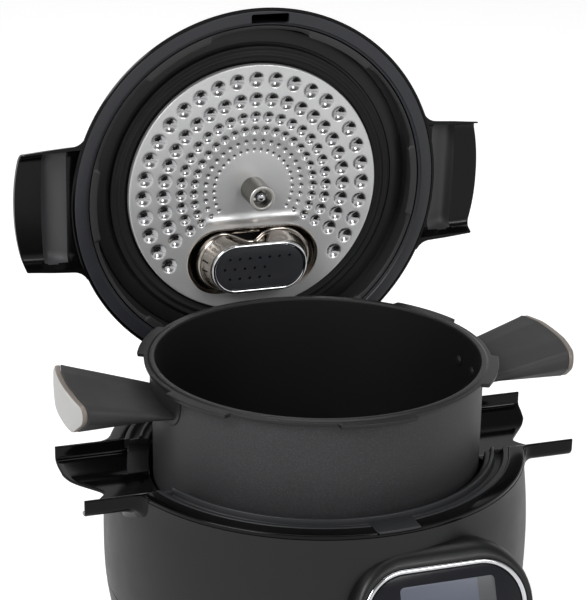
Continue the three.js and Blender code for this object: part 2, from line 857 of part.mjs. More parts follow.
const lidCover = cut(
  turned([...coverOuter, ...coverInner].toReversed()),
  rearLidCut,
  armSlot,
  disc(shaftRadius + running, 0, 400),
  disc(steamRadius - 3, 0, 400).translate([steamPlace.x, steamPlace.y, 0])
);
place(lid, "lid_cover", lidCover, looks.gloss);

const slotHole = block(
  [catchSlot.x - catchSlot.width / 2, -ringUnderRadius + 2.5, 0],
  [catchSlot.x + catchSlot.width / 2, -ringUnderRadius + 2.5 + catchSlot.depth, 400]
);
const underRing = cut(
  turned([
    [ringInside, lidBottom],
    [ringUnderRadius, lidBottom],
    [ringUnderRadius, lidBottom + 12],
    [ringUnderRadius - 2, lidBottom + 12],
    [ringUnderRadius - 2, lidBottom + ringThick],
    [ringInside, lidBottom + ringThick],
  ]),
  slotHole,
  rearLidCut,
  armSlot
);
place(lid, "under_ring", underRing, looks.ring);

// pressure plate: rests on the locking ring, carries the gasket and, on its threaded post, the inner lid
const discDish = 5;
const postTip = discZ - 4;
const plate = cut(
  turned([
    [0, postTip],
    [postRadius, postTip],
    [postRadius, plateZ],
    [gasketOutside + 2, plateZ],
    [gasketOutside + 2, plateZ - 1],
    [plateRadius - 5.4, plateZ - 1],
    [plateRadius - 5.4, plateZ + plateThick],
    [plateRadius, plateZ + plateThick],
    [plateRadius, plateZ + 2 * plateThick],
    [0, plateZ + 2 * plateThick],
  ]),
  disc(steamBore, 0, 400, smallSteps).translate([steamPlace.x, steamPlace.y, 0]),
  disc(7.4, 0, 400, smallSteps).translate([-24, coverCentre, 0])
);
place(lid, "pressure_plate", plate, looks.gloss);

place(
  lid,
  "gasket",
  turned([
    [gasketInside, plateZ - gap],
    [gasketOutside, plateZ - gap],
    [gasketOutside - 1, plateZ - 4.2],
    [gasketOutside - 3, plateZ - 2.6],
    [gasketOutside - 5, plateZ - 2.6],
    [gasketOutside - 7, plateZ - 5.8],
    [gasketOutside - 9, plateZ - 3.4],
    [gasketInside, plateZ - 3.4],
  ]),
  looks.rubber
);

const ovalShape = (halfLength, halfWidth) => roundedRect(2 * halfLength, 2 * halfWidth, halfWidth - 0.1);
const oval = (halfLength, halfWidth, bottom, top) =>
  upright(ovalShape(halfLength, halfWidth), bottom, top, 4).translate([0, coverCentre, 0]);
const innerLid = cut(
  turned([
    [postRadius + running, discZ + discDish],
    [34, discZ + discDish],
    [48, discZ + 1],
    [discRadius - 1.5, discZ],
    [discRadius, discZ + 0.8],
    [discRadius, discZ + 4.6],
    [discRadius - discThick, discZ + 4.6],
    [discRadius - discThick - 0.4, discZ + discThick],
    [48.4, discZ + discThick + 1],
    [34.4, discZ + discThick + discDish],
    [postRadius + running, discZ + discThick + discDish],
  ]),
  oval(coverHalfLength - 1, coverHalfWidth - 1, 0, 400)
);
place(lid, "inner_lid", innerLid, looks.steel);

// locking ring: turns round the step of the plate, its six jaws close under the lugs of the pot
const ringBody = turned([
  [lockInside, jawTop - jawThick],
  [lockOutside, jawTop - jawThick],
  [lockOutside, plateZ + plateThick - running],
  [plateRadius - 4.9, plateZ + plateThick - running],
  [plateRadius - 4.9, plateZ + 1],
  [lockInside, plateZ + 1],
]);
const jaws = [0, 1, 2, 3, 4, 5].map((i) =>
  arcBlock(jawInside, lockInside + 0.5, 60 * i, jawHalfAngle, jawTop - jawThick, jawTop)
);
place(lid, "locking_ring", joined(ringBody, ...jaws), looks.trim);

// knob on top, with its moulded shaft
const shaftBottom = plateZ + 2 * plateThick + running;
const knobBottom = coverTop + running;
const knob = cut(
  joined(
    disc(shaftRadius, shaftBottom, knobBottom + 4),
    turned([
      [0, knobBottom],
      [knobRadius, knobBottom],
      [knobRadius, knobBottom + 5],
      [knobRadius - 3, knobBottom + 8],
      [0, knobBottom + 8],
    ]),
    block([-knobRadius + 3, -11, knobBottom + 4], [knobRadius - 3, 11, knobBottom + knobHeight])
  ),
  disc(buttonRadius / 2 + running, knobBottom + 10, 500)
);
place(lid, "knob", knob, looks.gloss);
place(
  lid,
  "release_button",
  disc(buttonRadius / 2, knobBottom + 13, knobBottom + knobHeight + 1.6),
  looks.silver
);

// steam pipe through the cover and the weighted valve on it
const pipeTop = coverTop + 6;
const steamAt = (solid) => solid.translate([steamPlace.x, steamPlace.y, 0]);
place(
  lid,
  "steam_pipe",
  steamAt(
    turned([
      [2, plateZ + 1],
      [steamBore - gap, plateZ + 1],
      [steamBore - gap, plateZ + 2 * plateThick + gap],
      [steamRadius - 4, plateZ + 2 * plateThick + gap],
      [steamRadius - 4, coverTop - 6],
      [5, coverTop - 4],
      [5, pipeTop],
      [2, pipeTop],
    ], smallSteps)
  ),
  looks.steel
);
place(
  lid,
  "steam_valve",
  steamAt(
    turned([
      [5 + running, coverTop + 1.5],
      [steamRadius, coverTop + 1.5],
      [steamRadius, coverTop + 12],
      [steamRadius - 3, coverTop + 17],
      [0, coverTop + 17],
      [0, pipeTop + gap],
      [5 + running, pipeTop + gap],
    ], smallSteps)
  ),
  looks.rubber
);

// safety valve in the plate, under the valve cover
place(
  lid,
  "safety_valve",
  turned([
    [0, plateZ - 6],
    [5, plateZ - 6],
    [5, plateZ - gap - 2],
    [9.5, plateZ - gap - 2],
    [9.5, plateZ - gap],
    [7, plateZ - gap],
    [7, plateZ + 2 * plateThick + 6],
    [0, plateZ + 2 * plateThick + 6],
  ], smallSteps).translate([-24, coverCentre, 0]),
  looks.steel
);

// valve cover: a stadium shell clipped over the valves, with a perforated face
const faceZ = discZ - coverDrop;
const shellInner = 3;
const shell = cut(
  joined(
    oval(coverHalfLength, coverHalfWidth, discZ - gap - 1.2, discZ - gap),
    oval(coverHalfLength - 9, coverHalfWidth - 4, faceZ + 6, discZ - gap),
    oval(coverHalfLength - 13, coverHalfWidth - 6, faceZ + 1, discZ - gap - 1),
    oval(coverHalfLength - 2.5, coverHalfWidth - 2.5, discZ - 1, plateZ - 4)
  ),
  oval(coverHalfLength - 13 - shellInner, coverHalfWidth - 6 - shellInner, faceZ - 2, discZ + 20),
  oval(coverHalfLength - 9 - shellInner, coverHalfWidth - 4 - shellInner, faceZ + 6 + 2, discZ + 20)
);
place(lid, "valve_cover", shell, looks.chrome);
const holeRows = [
  { y: 8, xs: [-24, -16, -8, 0, 8, 16, 24] },
  { y: 0, xs: [-16, -8, 0, 8, 16] },
  { y: -8, xs: [-16, -8, 0, 8, 16] },
];
const faceHoles = holeRows.flatMap(({ y, xs }) =>
  xs.map((x) => disc(0.9, faceZ - 2, faceZ + 8, 6).translate([x, coverCentre + y, 0]))
);
const facePlate = cut(
  oval(
    coverHalfLength - 13 - shellInner - gap,
    coverHalfWidth - 6 - shellInner - gap,
    faceZ + 1.4,
    faceZ + 3.4
  ),
  ...faceHoles
);
place(lid, "valve_face", facePlate, looks.gloss);

// hollow nut that holds the inner lid, and the ball-ended pin inside it
const nutTop = discZ + discDish - gap;
const nutBottom = nutTop - nutLength;
const ballRadius = 4.2;
place(
  lid,
  "centre_nut",
  turned([
    [nutOutside - 3, nutBottom],
    [nutOutside - 1, nutBottom],
    [nutOutside, nutBottom + 1.5],
    [nutOutside, nutTop - 2],
    [nutOutside + 2, nutTop],
    [postRadius + running, nutTop],
    [postRadius + running, nutBottom + 16],
    [nutOutside - 3, nutBottom + 16],
  ], smallSteps),
  looks.chrome
);
const ballAbove = 6; // centre of the ball above the mouth of the nut
const ball = toSolid(new THREE.SphereGeometry(ballRadius, 12, 8).translate(0, 0, nutBottom + ballAbove));
const ballStem = disc(1.6, nutBottom + ballAbove, postTip - gap, 8);
place(lid, "float_ball", joined(ball, ballStem), looks.steel);

// hinge arm, bolted to the cover and carried by the pin
const armShape = new THREE.Shape();
armShape.moveTo(armFront, hinge.z + 6);
armShape.lineTo(armFront, armTop);
armShape.lineTo(armFront + 6, armTop);
armShape.lineTo(hinge.y + knuckleRadius - 1, hinge.z + 10);
armShape.lineTo(hinge.y + knuckleRadius, hinge.z);
armShape.lineTo(hinge.y - knuckleRadius, hinge.z);
const armBolts = [-16, 16];
const armBolt = (solid, x) =>
  solid.rotate([-90, 0, 0]).translate([x, armFront - gap - 2.4, armTop - 8]);
const hingeArm = cut(
  joined(alongX(armShape, -armHalf, armHalf), hingeDisk(knuckleRadius, -armHalf, armHalf)),
  hingeDisk(pinRadius + running, -60, 60),
  block([-springHalf, 100, hinge.z - 20], [springHalf, 200, hinge.z + 8.5]),
  ...armBolts.map((x) => armBolt(disc(2.2, 0, 12, 12), x))
);
place(lid, "hinge_arm", hingeArm, looks.gloss);
armBolts.forEach((x, i) => {
  place(lid, `arm_screw_${i + 1}`, armBolt(screw(8), x), looks.steel);
});

// side handles of the lid
function lidHandle(sign) {
  const plan = new THREE.Shape();
  const h = lidHandleHalfWidth;
  plan.moveTo(130, -h - 4);
  plan.lineTo(150, -h);
  plan.lineTo(180, -h);
  plan.quadraticCurveTo(lidHandleTip, -h * 0.55, lidHandleTip, 0);
  plan.quadraticCurveTo(lidHandleTip, h * 0.55, 180, h);
  plan.lineTo(150, h);
  plan.lineTo(130, h + 4);
  const within = h - lidHandleSide;
  const overPotHandle = seatedRim + handleTipTop + lidHandleClear;
  const body = cut(
    upright(plan, lidBottom, lidBottom + lidHandleHeight, 6),
    tube(0.1, coverRadius + gap, 0, 400, roundSteps),
    block([coverRadius - 8, -within, 0], [lidHandleTip - 4.5, within, lidBottom + lidHandleHeight - 4]),
    block([coverRadius - 8, -within, 0], [lidHandleTip + 5, within, overPotHandle])
  );
  return sign > 0 ? body : mirrored(body);
}
for (const [side, sign] of Object.entries(sides)) {
  place(lid, `lid_handle_${side}`, lidHandle(sign), looks.gloss);
}

// ---- origin at the bottom centre of the whole ----
const bounds = new THREE.Box3().setFromObject(cooker);
const middle = bounds.getCenter(new THREE.Vector3());
cooker.position.set(-middle.x, -middle.y, -bounds.min.z);

export default cooker;
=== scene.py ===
import json
from math import atan2, cos, exp, hypot, pi, radians, sin, sqrt, tan

import bmesh
import bpy
from mathutils import Matrix, Vector


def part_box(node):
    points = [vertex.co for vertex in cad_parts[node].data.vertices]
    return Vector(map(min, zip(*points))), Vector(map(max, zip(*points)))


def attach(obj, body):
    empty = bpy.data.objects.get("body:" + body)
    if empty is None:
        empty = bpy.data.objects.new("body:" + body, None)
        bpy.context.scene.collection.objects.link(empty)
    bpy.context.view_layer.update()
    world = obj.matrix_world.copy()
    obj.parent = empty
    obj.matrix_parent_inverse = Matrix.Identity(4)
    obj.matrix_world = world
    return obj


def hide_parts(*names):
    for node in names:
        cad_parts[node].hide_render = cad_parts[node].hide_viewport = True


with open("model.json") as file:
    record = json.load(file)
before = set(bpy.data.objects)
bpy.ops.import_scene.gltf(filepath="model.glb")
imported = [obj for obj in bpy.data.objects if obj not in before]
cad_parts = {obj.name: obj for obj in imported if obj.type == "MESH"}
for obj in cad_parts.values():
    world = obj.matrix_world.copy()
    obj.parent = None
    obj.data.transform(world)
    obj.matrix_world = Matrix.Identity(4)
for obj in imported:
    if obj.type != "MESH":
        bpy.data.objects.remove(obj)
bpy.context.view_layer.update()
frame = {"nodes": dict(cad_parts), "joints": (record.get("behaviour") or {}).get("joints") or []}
print("frame loaded")

joints = {joint["name"]: joint for joint in frame["joints"]}
nodes = frame["nodes"]


def middleOf(node):
    low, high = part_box(node)
    return (low + high) / 2


toMetres = Matrix.Scale(0.001, 4)
potLift = -joints["pot_lift"]["range_m"][0]
lidOpen = radians(joints["lid_hinge"]["range_deg"][0])
hingePoint = Vector(joints["lid_hinge"]["pos_m"])
axisPoint = Vector((0, middleOf("bottom_plate").y, 0))
basePlace = Matrix.Translation(axisPoint) @ toMetres
potPlace = Matrix.Translation((0, 0, potLift)) @ basePlace
lidTurn = Matrix.Translation(hingePoint) @ Matrix.Rotation(lidOpen, 4, "X") @ Matrix.Translation(-hingePoint)
lidPlace = lidTurn @ basePlace
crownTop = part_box("crown")[1].z * 1000
rimTop = (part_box("pot")[1].z - potLift) * 1000
lidBottom = crownTop + 1  # flat ring of the closed lid
hingeY = (hingePoint.y - axisPoint.y) * 1000


# outlines
def softened(points, steps, closed=True):
    # corners given as (x, y, radius) become arcs
    made = []
    for i, point in enumerate(points):
        corner = Vector(point[:2])
        radius = point[2] if len(point) > 2 else 0
        if radius == 0 or (not closed and i in (0, len(points) - 1)):
            made.append(tuple(corner))
            continue
        before = Vector(points[i - 1][:2]) - corner
        after = Vector(points[(i + 1) % len(points)][:2]) - corner
        half = before.angle(after) / 2
        half = min(half, radians(89.8))
        reach = min(radius / tan(half), 0.49 * before.length, 0.49 * after.length)
        before.normalize()
        after.normalize()
        radius = reach * tan(half)
        centre = corner + (before + after).normalized() * hypot(reach, radius)
        first = corner + before * reach - centre
        last = corner + after * reach - centre
        turn = first.angle_signed(last)
        for k in range(steps + 1):
            turned = first.copy()
            turned.rotate(Matrix.Rotation(-turn * k / steps, 2))
            made.append(tuple(centre + turned))
    return made


def smoothed(points, per):
    # a curve through points of any dimension
    points = [Vector(p) for p in points]
    made = []
    for i in range(len(points) - 1):
        a = points[max(i - 1, 0)]
        b, c = points[i], points[i + 1]
        d = points[min(i + 2, len(points) - 1)]
        for k in range(per):
            t = k / per
            bend = (2 * a - 5 * b + 4 * c - d) * t * t
            twist = (3 * b - a - 3 * c + d) * t**3
            made.append(tuple(0.5 * (2 * b + (c - a) * t + bend + twist)))
    return made + [tuple(points[-1])]


def finely(row, step):
    # an open row of points with more of them on its long stretches
    made = []
    for a, b in zip(row, row[1:]):
        count = max(1, round(hypot(b[0] - a[0], b[1] - a[1]) / step))
        made += [(a[0] + (b[0] - a[0]) * k / count, a[1] + (b[1] - a[1]) * k / count) for k in range(count)]
    return made + [row[-1]]


def roundedBox(width, height, corner, middle=(0, 0), steps=8):
    w, h = width / 2, height / 2
    x, y = middle
    corners = [(w, h), (-w, h), (-w, -h), (w, -h)]
    return softened([(x + a, y + b, corner) for a, b in corners], steps)


def ease(x, low, high):
    t = min(1, max(0, (x - low) / (high - low)))
    return t * t * (3 - 2 * t)


# forms: lists of points and faces, in millimetres
def gridFaces(rows, columns, wrap):
    # the faces between closed rows of points
    faces = []
    for i in range(rows if wrap else rows - 1):
        start, after = i * columns, (i + 1) % rows * columns
        for j in range(columns):
            k = (j + 1) % columns
            faces.append((start + j, start + k, after + k, after + j))
    return faces


def cappedFaces(rows, columns, wrap):
    # the same with a face at each end, unless the last row meets the first
    faces = gridFaces(rows, columns, wrap)
    if not wrap:
        faces += [tuple(range(columns)), tuple((rows - 1) * columns + k for k in range(columns))]
    return faces


def turnedForm(profile, steps=192, sector=None):
    # profile: (radius, height) points, or a function of the angle in degrees that gives them
    at = profile if callable(profile) else lambda angle: profile
    if sector is None:
        angles = [360 * i / steps for i in range(steps)]
    elif isinstance(sector, tuple):
        count = max(2, round(steps * (sector[1] - sector[0]) / 360))
        angles = [sector[0] + (sector[1] - sector[0]) * i / count for i in range(count + 1)]
    else:
        angles = sector
    whole = sector is None or (isinstance(sector, list) and abs(angles[-1] - angles[0]) > 340)
    points = []
    for angle in angles:
        c, s = cos(radians(angle)), sin(radians(angle))
        row = at(angle)
        points += [(r * c, r * s, z) for r, z in row]
    return points, cappedFaces(len(angles), len(row), whole)


def loftForm(loops, ring=False):
    # closed loops with the same number of points, joined in order
    return [tuple(p) for loop in loops for p in loop], cappedFaces(len(loops), len(loops[0]), ring)


def slabForm(outline, bottom, top, edge=0):
    # an outline pushed upwards, with rounded edges where edge is set
    if edge == 0:
        return loftForm([[(x, y, z) for x, y in outline] for z in (bottom, top)])
    levels, steps = [], 3
    for k in range(steps + 1):
        turn = 0.5 * pi * k / steps
        levels.append((edge * (1 - sin(turn)), edge * (1 - cos(turn))))
    loops = [(inset, bottom + rise) for inset, rise in levels]
    loops += [(inset, top - rise) for inset, rise in reversed(levels)]
    return loftForm([[(x, y, z) for x, y in insetOf(outline, inset)] for inset, z in loops])


def insetOf(outline, distance):
    # the same number of points, moved in along the bisectors of an outline
    if distance == 0:
        return list(outline)
    count = len(outline)
    area = sum(outline[i - 1][0] * outline[i][1] - outline[i][0] * outline[i - 1][1] for i in range(count))
    sign = 1 if area > 0 else -1
    made = []
    for i, (x, y) in enumerate(outline):
        before, after = Vector(outline[i - 1]), Vector(outline[(i + 1) % count])
        a = Vector((x, y)) - before
        b = after - Vector((x, y))
        if a.length < 1e-6 or b.length < 1e-6:
            made.append((x, y))
            continue
        a.normalize()
        b.normalize()
        normal = Vector((-(a.y + b.y), a.x + b.x))
        normal.normalize()
        stretch = max(0.35, normal.dot(Vector((-a.y, a.x))))
        made.append((x + sign * normal.x * distance / stretch, y + sign * normal.y * distance / stretch))
    return made


def boxForm(low, high):
    (x0, y0, z0), (x1, y1, z1) = low, high
    return slabForm([(x0, y0), (x1, y0), (x1, y1), (x0, y1)], z0, z1)


def discForm(radius, bottom, top, middle=(0, 0)):
    (x, y), steps = middle, 48
    turns = [2 * pi * i / steps for i in range(steps)]
    return slabForm([(x + radius * cos(a), y + radius * sin(a)) for a in turns], bottom, top)


def moved(form, matrix):
    points, faces = form
    return [tuple(matrix @ Vector(p)) for p in points], faces


def shifted(form, x, y, z):
    return moved(form, Matrix.Translation((x, y, z)))


def mirroredX(form):
    points, faces = form
    return [(-x, y, z) for x, y, z in points], [tuple(reversed(f)) for f in faces]


def together(*forms):
    points, faces = [], []
    for some, others in forms:
        faces += [tuple(i + len(points) for i in face) for face in others]
        points += some
    return points, faces


def meshOf(form, name):
    mesh = bpy.data.meshes.new(name)
    mesh.from_pydata(form[0], [], form[1])
    shape = bmesh.new()
    shape.from_mesh(mesh)
    bmesh.ops.remove_doubles(shape, verts=shape.verts, dist=1e-4)
    bmesh.ops.dissolve_degenerate(shape, dist=1e-5, edges=shape.edges)
    bmesh.ops.recalc_face_normals(shape, faces=shape.faces)
    shape.to_mesh(mesh)
    shape.free()
    return mesh


def scratch(form, name="scratch"):
    thing = bpy.data.objects.new(name, meshOf(form, name))
    bpy.context.scene.collection.objects.link(thing)
    return thing


def takenFrom(thing):
    # the evaluated mesh of an object as a form
    bpy.context.view_layer.update()
    mesh = bpy.data.meshes.new_from_object(thing.evaluated_get(bpy.context.evaluated_depsgraph_get()))
    form = [tuple(v.co) for v in mesh.vertices], [tuple(p.vertices) for p in mesh.polygons]
    bpy.data.meshes.remove(mesh)
    return form


def discard(*things):
    for thing in things:
        data = thing.data
        bpy.data.objects.remove(thing)
        if data is not None and data.users == 0:
            bpy.data.meshes.remove(data)


def carved(form, *cutters, operation="DIFFERENCE"):
    target = scratch(form)
    tools = [scratch(cutter, "cutter") for cutter in cutters]
    for tool in tools:
        cut = target.modifiers.new("cut", "BOOLEAN")
        cut.operation, cut.solver, cut.object = operation, "EXACT", tool
    result = takenFrom(target)
    discard(target, *tools)
    return result


def bevelled(form, width):
    target = scratch(form)
    edge = target.modifiers.new("edge", "BEVEL")
    edge.width, edge.segments, edge.angle_limit = width, 3, radians(35)
    edge.limit_method, edge.harden_normals = "ANGLE", False
    result = takenFrom(target)
    discard(target)
    return result


def piece(name, form, place, look, body, replaces, crease=32):
    # a finished piece: its mesh is put in place, shaded, and tied to its body
    mesh = meshOf(form, name)
    mesh.transform(place)
    mesh.shade_smooth()
    mesh.set_sharp_from_angle(angle=radians(crease))
    mesh.materials.append(look)
    thing = bpy.data.objects.new(name, mesh)
    bpy.context.scene.collection.objects.link(thing)
    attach(thing, body)
    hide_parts(*replaces)
    return thing


# node trees
class Socket:
    # an output socket that can be used in sums

    def __init__(self, tree, socket):
        self.tree, self.socket = tree, socket

    def __add__(self, other):
        return self.tree.maths("ADD", self, other)

    def __sub__(self, other):
        return self.tree.maths("SUBTRACT", self, other)

    def __rsub__(self, other):
        return self.tree.maths("SUBTRACT", other, self)

    def __mul__(self, other):
        return self.tree.maths("MULTIPLY", self, other)

    def __truediv__(self, other):
        return self.tree.maths("DIVIDE", self, other)

    def __pow__(self, other):
        return self.tree.maths("POWER", self, other)

    def __lt__(self, other):
        return self.tree.maths("LESS_THAN", self, other)

    __radd__ = __add__


class Tree:
    def __init__(self, nodeTree):
        self.made = nodeTree

    def node(self, kind, settings=None, inputs=(), output=0):
        new = self.made.nodes.new(kind)
        for name, value in (settings or {}).items():
            setattr(new, name, value)
        for key, value in inputs.items() if isinstance(inputs, dict) else enumerate(inputs):
            if isinstance(value, Socket):
                self.made.links.new(value.socket, new.inputs[key])
            elif value is not None:
                new.inputs[key].default_value = value
        return Socket(self, new.outputs[output]) if len(new.outputs) else None

    def maths(self, operation, *values):
        return self.node("ShaderNodeMath", {"operation": operation}, values)

    def vector(self, operation, *values, output=0):
        return self.node("ShaderNodeVectorMath", {"operation": operation}, values, output)

    def radius(self, offset):
        # how far a spot stands from an upright axis
        return self.vector("LENGTH", self.vector("MULTIPLY", offset, (1, 1, 0)), output="Value")

    def between(self, factor, first, second):
        # a colour between two, by factor
        return self.node("ShaderNodeMix", {"data_type": "RGBA"}, {0: factor, 6: first, 7: second}, 2)

    def joined(self, kind, links, settings=None):
        # a node some of whose inputs take more than one link
        out = self.node(kind, settings)
        for key, value in links:
            self.made.links.new(value.socket, out.socket.node.inputs[key])
        return out

    def span(self, value, low, high, newLow=0.0, newHigh=1.0):
        return self.node("ShaderNodeMapRange", None, [value, low, high, newLow, newHigh])

    def noise(self, vector, scale, detail):
        inputs = {"Vector": vector, "Scale": scale, "Detail": detail}
        return self.node("ShaderNodeTexNoise", {"noise_dimensions": "3D"}, inputs)

    def bump(self, height, strength, distance):
        inputs = {"Strength": strength, "Distance": distance, "Height": height}
        return self.node("ShaderNodeBump", None, inputs)


def colour(hexCode, brightness=1.0):
    # a written colour as the linear values that a shader takes
    values = [int(hexCode[i : i + 2], 16) / 255 for i in (1, 3, 5)]
    linear = [v / 12.92 if v <= 0.04045 else ((v + 0.055) / 1.055) ** 2.4 for v in values]
    return tuple(min(1.0, v * brightness) for v in linear) + (1.0,)


def emptied(data):
    # the cleared node tree of a material or a world
    data.use_nodes = True
    data.node_tree.nodes.clear()
    return Tree(data.node_tree)


def lookNamed(name, paint, **constants):
    # a material: paint gives the varying sockets, constants are set on the shader itself
    look = bpy.data.materials.new(name)
    tree = emptied(look)
    place = tree.node("ShaderNodeTexCoord", output="Object")
    inputs = {key.replace("_", " "): value for key, value in constants.items()}
    shader = tree.node("ShaderNodeBsdfPrincipled", None, {**inputs, **paint(tree, place)})
    tree.node("ShaderNodeOutputMaterial", None, [shader])
    return look


def moulded(name, base, rough, grain, depth, drift=0.12, **constants):
    # moulded plastic or painted metal: fine grain in the surface, a slow drift of tone and polish;
    # grain and depth are in millimetres

    def paint(tree, place):
        cloud = tree.noise(place, 14.0, 3.0)
        fine = tree.noise(place, 1000 / grain, 2.0)
        smear = tree.noise(place, 55.0, 4.0)
        tone = tree.between(cloud, colour(base, 1 - drift), colour(base, 1 + drift))
        polish = tree.span(smear * 0.6 + fine * 0.4, 0.3, 0.7, rough * 0.88, rough * 1.14)
        return {
            "Base Color": tone, "Roughness": polish, "Normal": tree.bump(fine, 0.5, depth * 0.001),
        }

    return lookNamed(name, paint, **constants)


def polished(name, base, rough, streak=0.0, **constants):
    # bare metal: fine scratches in its polish, deeper by streak

    def paint(tree, place):
        scratches = tree.noise(place, 900.0, 4.0)
        cloud = tree.noise(place, 22.0, 3.0)
        tone = tree.between(cloud, colour(base, 0.93), colour(base, 1.04))
        polish = tree.span(scratches + cloud, 0.7, 1.3, rough * 0.75, rough * 1.3)
        return {
            "Base Color": tone, "Roughness": polish,
            "Normal": tree.bump(scratches, 0.25, 0.000012 + streak),
        }

    return lookNamed(name, paint, Metallic=1.0, **constants)


def speckledPot():
    # the coating of the pot: dark grey with a metallic speckle outside, plain near-black inside

    def paint(tree, place):
        radius = tree.radius(tree.vector("SUBTRACT", place, tuple(axisPoint)))
        # radii in metres: half-way through the wall, and just outside it
        inside = tree.span(radius, 0.1172, 0.1176, 1.0, 0.0)
        flange = tree.span(radius, 0.1186, 0.119)
        grit = tree.noise(place, 2300.0, 1.0)
        flecks = tree.span(grit, 0.56, 0.68)
        cloud = tree.noise(place, 18.0, 2.0)
        outside = tree.between(cloud, colour("#2e2e30"), colour("#363638"))
        outside = tree.between(flecks * 0.42, outside, colour("#7a7a7e"))
        outside = tree.between(flange, outside, colour("#151516"))
        tone = tree.between(inside, outside, colour("#0c0c0d"))
        polish = tree.span(grit, 0.3, 0.7, 0.42, 0.6) - flange * 0.12
        return {
            "Base Color": tone, "Roughness": polish, "Metallic": flecks * 0.5 * (1 - inside) * (1 - flange),
            "Normal": tree.bump(grit, 0.35, 0.00004),
        }

    return lookNamed("potCoating", paint, Specular_IOR_Level=0.4)


def turnedSteel():
    # the inner lid: satin steel with fine circles round its centre
    upright = lidPlace.to_3x3().normalized().to_4x4().inverted()
    angles = upright.to_euler()
    centre = lidPlace @ Vector((0, 0, rimTop))

    def paint(tree, place):
        offset = tree.vector("SUBTRACT", place, tuple(centre))
        local = tree.node("ShaderNodeMapping", None, {"Vector": offset, "Rotation": tuple(angles)})
        radius = tree.radius(local)
        circles = tree.noise(tree.node("ShaderNodeCombineXYZ", None, [radius, 0.0, 0.0]), 2600.0, 3.0)
        cloud = tree.noise(place, 26.0, 3.0)
        fine = tree.noise(place, 1400.0, 2.0)
        pressed = tree.node("ShaderNodeAttribute", {"attribute_name": "pressed"}, output=2)
        tone = tree.between(cloud, colour("#d3d4d5"), colour("#e2e2e2"))
        # inside the dimples the tone is darker: painted shade that stands in for the dark reflections there;
        # the higher metal and lower roughness are real polish
        tone = tree.between(pressed, tone, colour("#b0b0b2"))
        polish = tree.span(circles * 0.5 + fine * 0.5, 0.3, 0.7, 0.3, 0.38) * (1 - pressed * 0.62)
        height = circles * 0.6 + fine * 0.4
        return {
            "Base Color": tone, "Metallic": 0.55 + pressed * 0.43, "Roughness": polish,
            "Normal": tree.bump(height, 0.3, 0.00003),
        }

    return lookNamed("turnedSteel", paint)


def displayLook():
    # the dark display: slate blue with faint dots, and a greyer column at its right
    edge = middleOf("display_module").x + 0.0215

    def paint(tree, place):
        x = tree.node("ShaderNodeSeparateXYZ", None, [place], "X")
        column = tree.span(x, edge - 0.0003, edge + 0.0003)
        dots = tree.noise(place, 3200.0, 0.0)
        main = tree.between(dots, colour("#555a69"), colour("#5d6271"))
        side = tree.between(dots, colour("#47494c"), colour("#4d4f52"))
        return {
            "Base Color": tree.between(column, main, side),
            "Roughness": tree.span(dots, 0.3, 0.7, 0.3, 0.36),
        }

    return lookNamed("displayPane", paint)


looks = {
    "housing": moulded("housingPlastic", "#0e0f10", 0.36, Specular_IOR_Level=0.4, grain=0.4, depth=0.02),
    "gloss": moulded("glossBlack", "#070708", 0.1, grain=3.0, depth=0.004, Specular_IOR_Level=0.2),
    "satinBlack": moulded("satinBlack", "#1c1c1d", 0.38, grain=0.5, depth=0.015, Specular_IOR_Level=0.35),
    "trim": moulded("greyTrim", "#242528", 0.46, grain=0.45, depth=0.03),
    "handle": moulded("handlePlastic", "#2f2f30", 0.52, grain=0.5, depth=0.03),
    "capFace": moulded("silverCap", "#c9c8c6", 0.36, grain=0.3, depth=0.01, Metallic=0.25),
    "capBand": moulded("taupeBand", "#857c75", 0.42, grain=0.3, depth=0.01, Metallic=0.2),
    "lidRing": moulded("lidRing", "#2a2b30", 0.36, grain=0.4, depth=0.02),
    "lockGrey": moulded("lockGrey", "#2b2b2c", 0.48, grain=0.5, depth=0.02),
    "rubber": moulded("blackRubber", "#131314", 0.62, grain=0.6, depth=0.05, Specular_IOR_Level=0.35),
    "glass": moulded("darkGlass", "#1a1b20", 0.09, grain=4.0, depth=0.002, Specular_IOR_Level=0.2),
    "board": moulded("circuitBoard", "#1f5b3a", 0.55, grain=1.2, depth=0.02),
    "steel": polished("satinSteel", "#c4c6c9", 0.26), "chrome": polished("chrome", "#d8d9dc", 0.08),
    "smoked": polished("smokedChrome", "#a39c94", 0.15),
    "aluminium": polished("aluminium", "#a9abad", 0.42, streak=0.00001), "pot": speckledPot(),
    "disc": turnedSteel(), "nut": polished("nutSteel", "#6f6c66", 0.2),
    "nutEnd": polished("nutEnd", "#dcdad6", 0.4),
    "grip": moulded("lidGrip", "#080809", 0.2, grain=2.0, depth=0.006, Specular_IOR_Level=0.22),
    "display": displayLook(), "gripHollow": moulded("gripHollow", "#454547", 0.5, grain=0.5, depth=0.015),
    "valveGrey": moulded("valveGrey", "#3b3c40", 0.34, grain=0.4, depth=0.01, Metallic=0.3),
    "bracket": moulded("bracketBlack", "#1d1d1e", 0.42, grain=0.5, depth=0.02),
}
print("looks made")

# the body: one turned shell with a fine seam, open where the channels and the hinge go in
bodyShell = {
    "outline": [(140, 12), (143, 26), (146, 56), (150, 92), (153.2, 112), (154.6, 128), (155, 145),
                (154.8, 165), (153.4, 187), (151.7, 203), (151.2, 211.7)],
    "wall": 3, "seam": 118, "seamRadius": 153.9, "hingeHalf": 37.2, "hingeFront": hingeY - 10.5,
}


def channelCut(more):
    # a bar with the channel's section, right through the body
    section = wingPath(more)
    outline = section + [(section[-1][0], 200), (section[0][0], 200)]
    return loftForm([[(x, y, crownTop + z) for y, z in outline] for x in (-200, 200)])


def hingeBox():
    b = bodyShell
    return boxForm((-b["hingeHalf"], b["hingeFront"], crownTop - 22), (b["hingeHalf"], 220, 400))


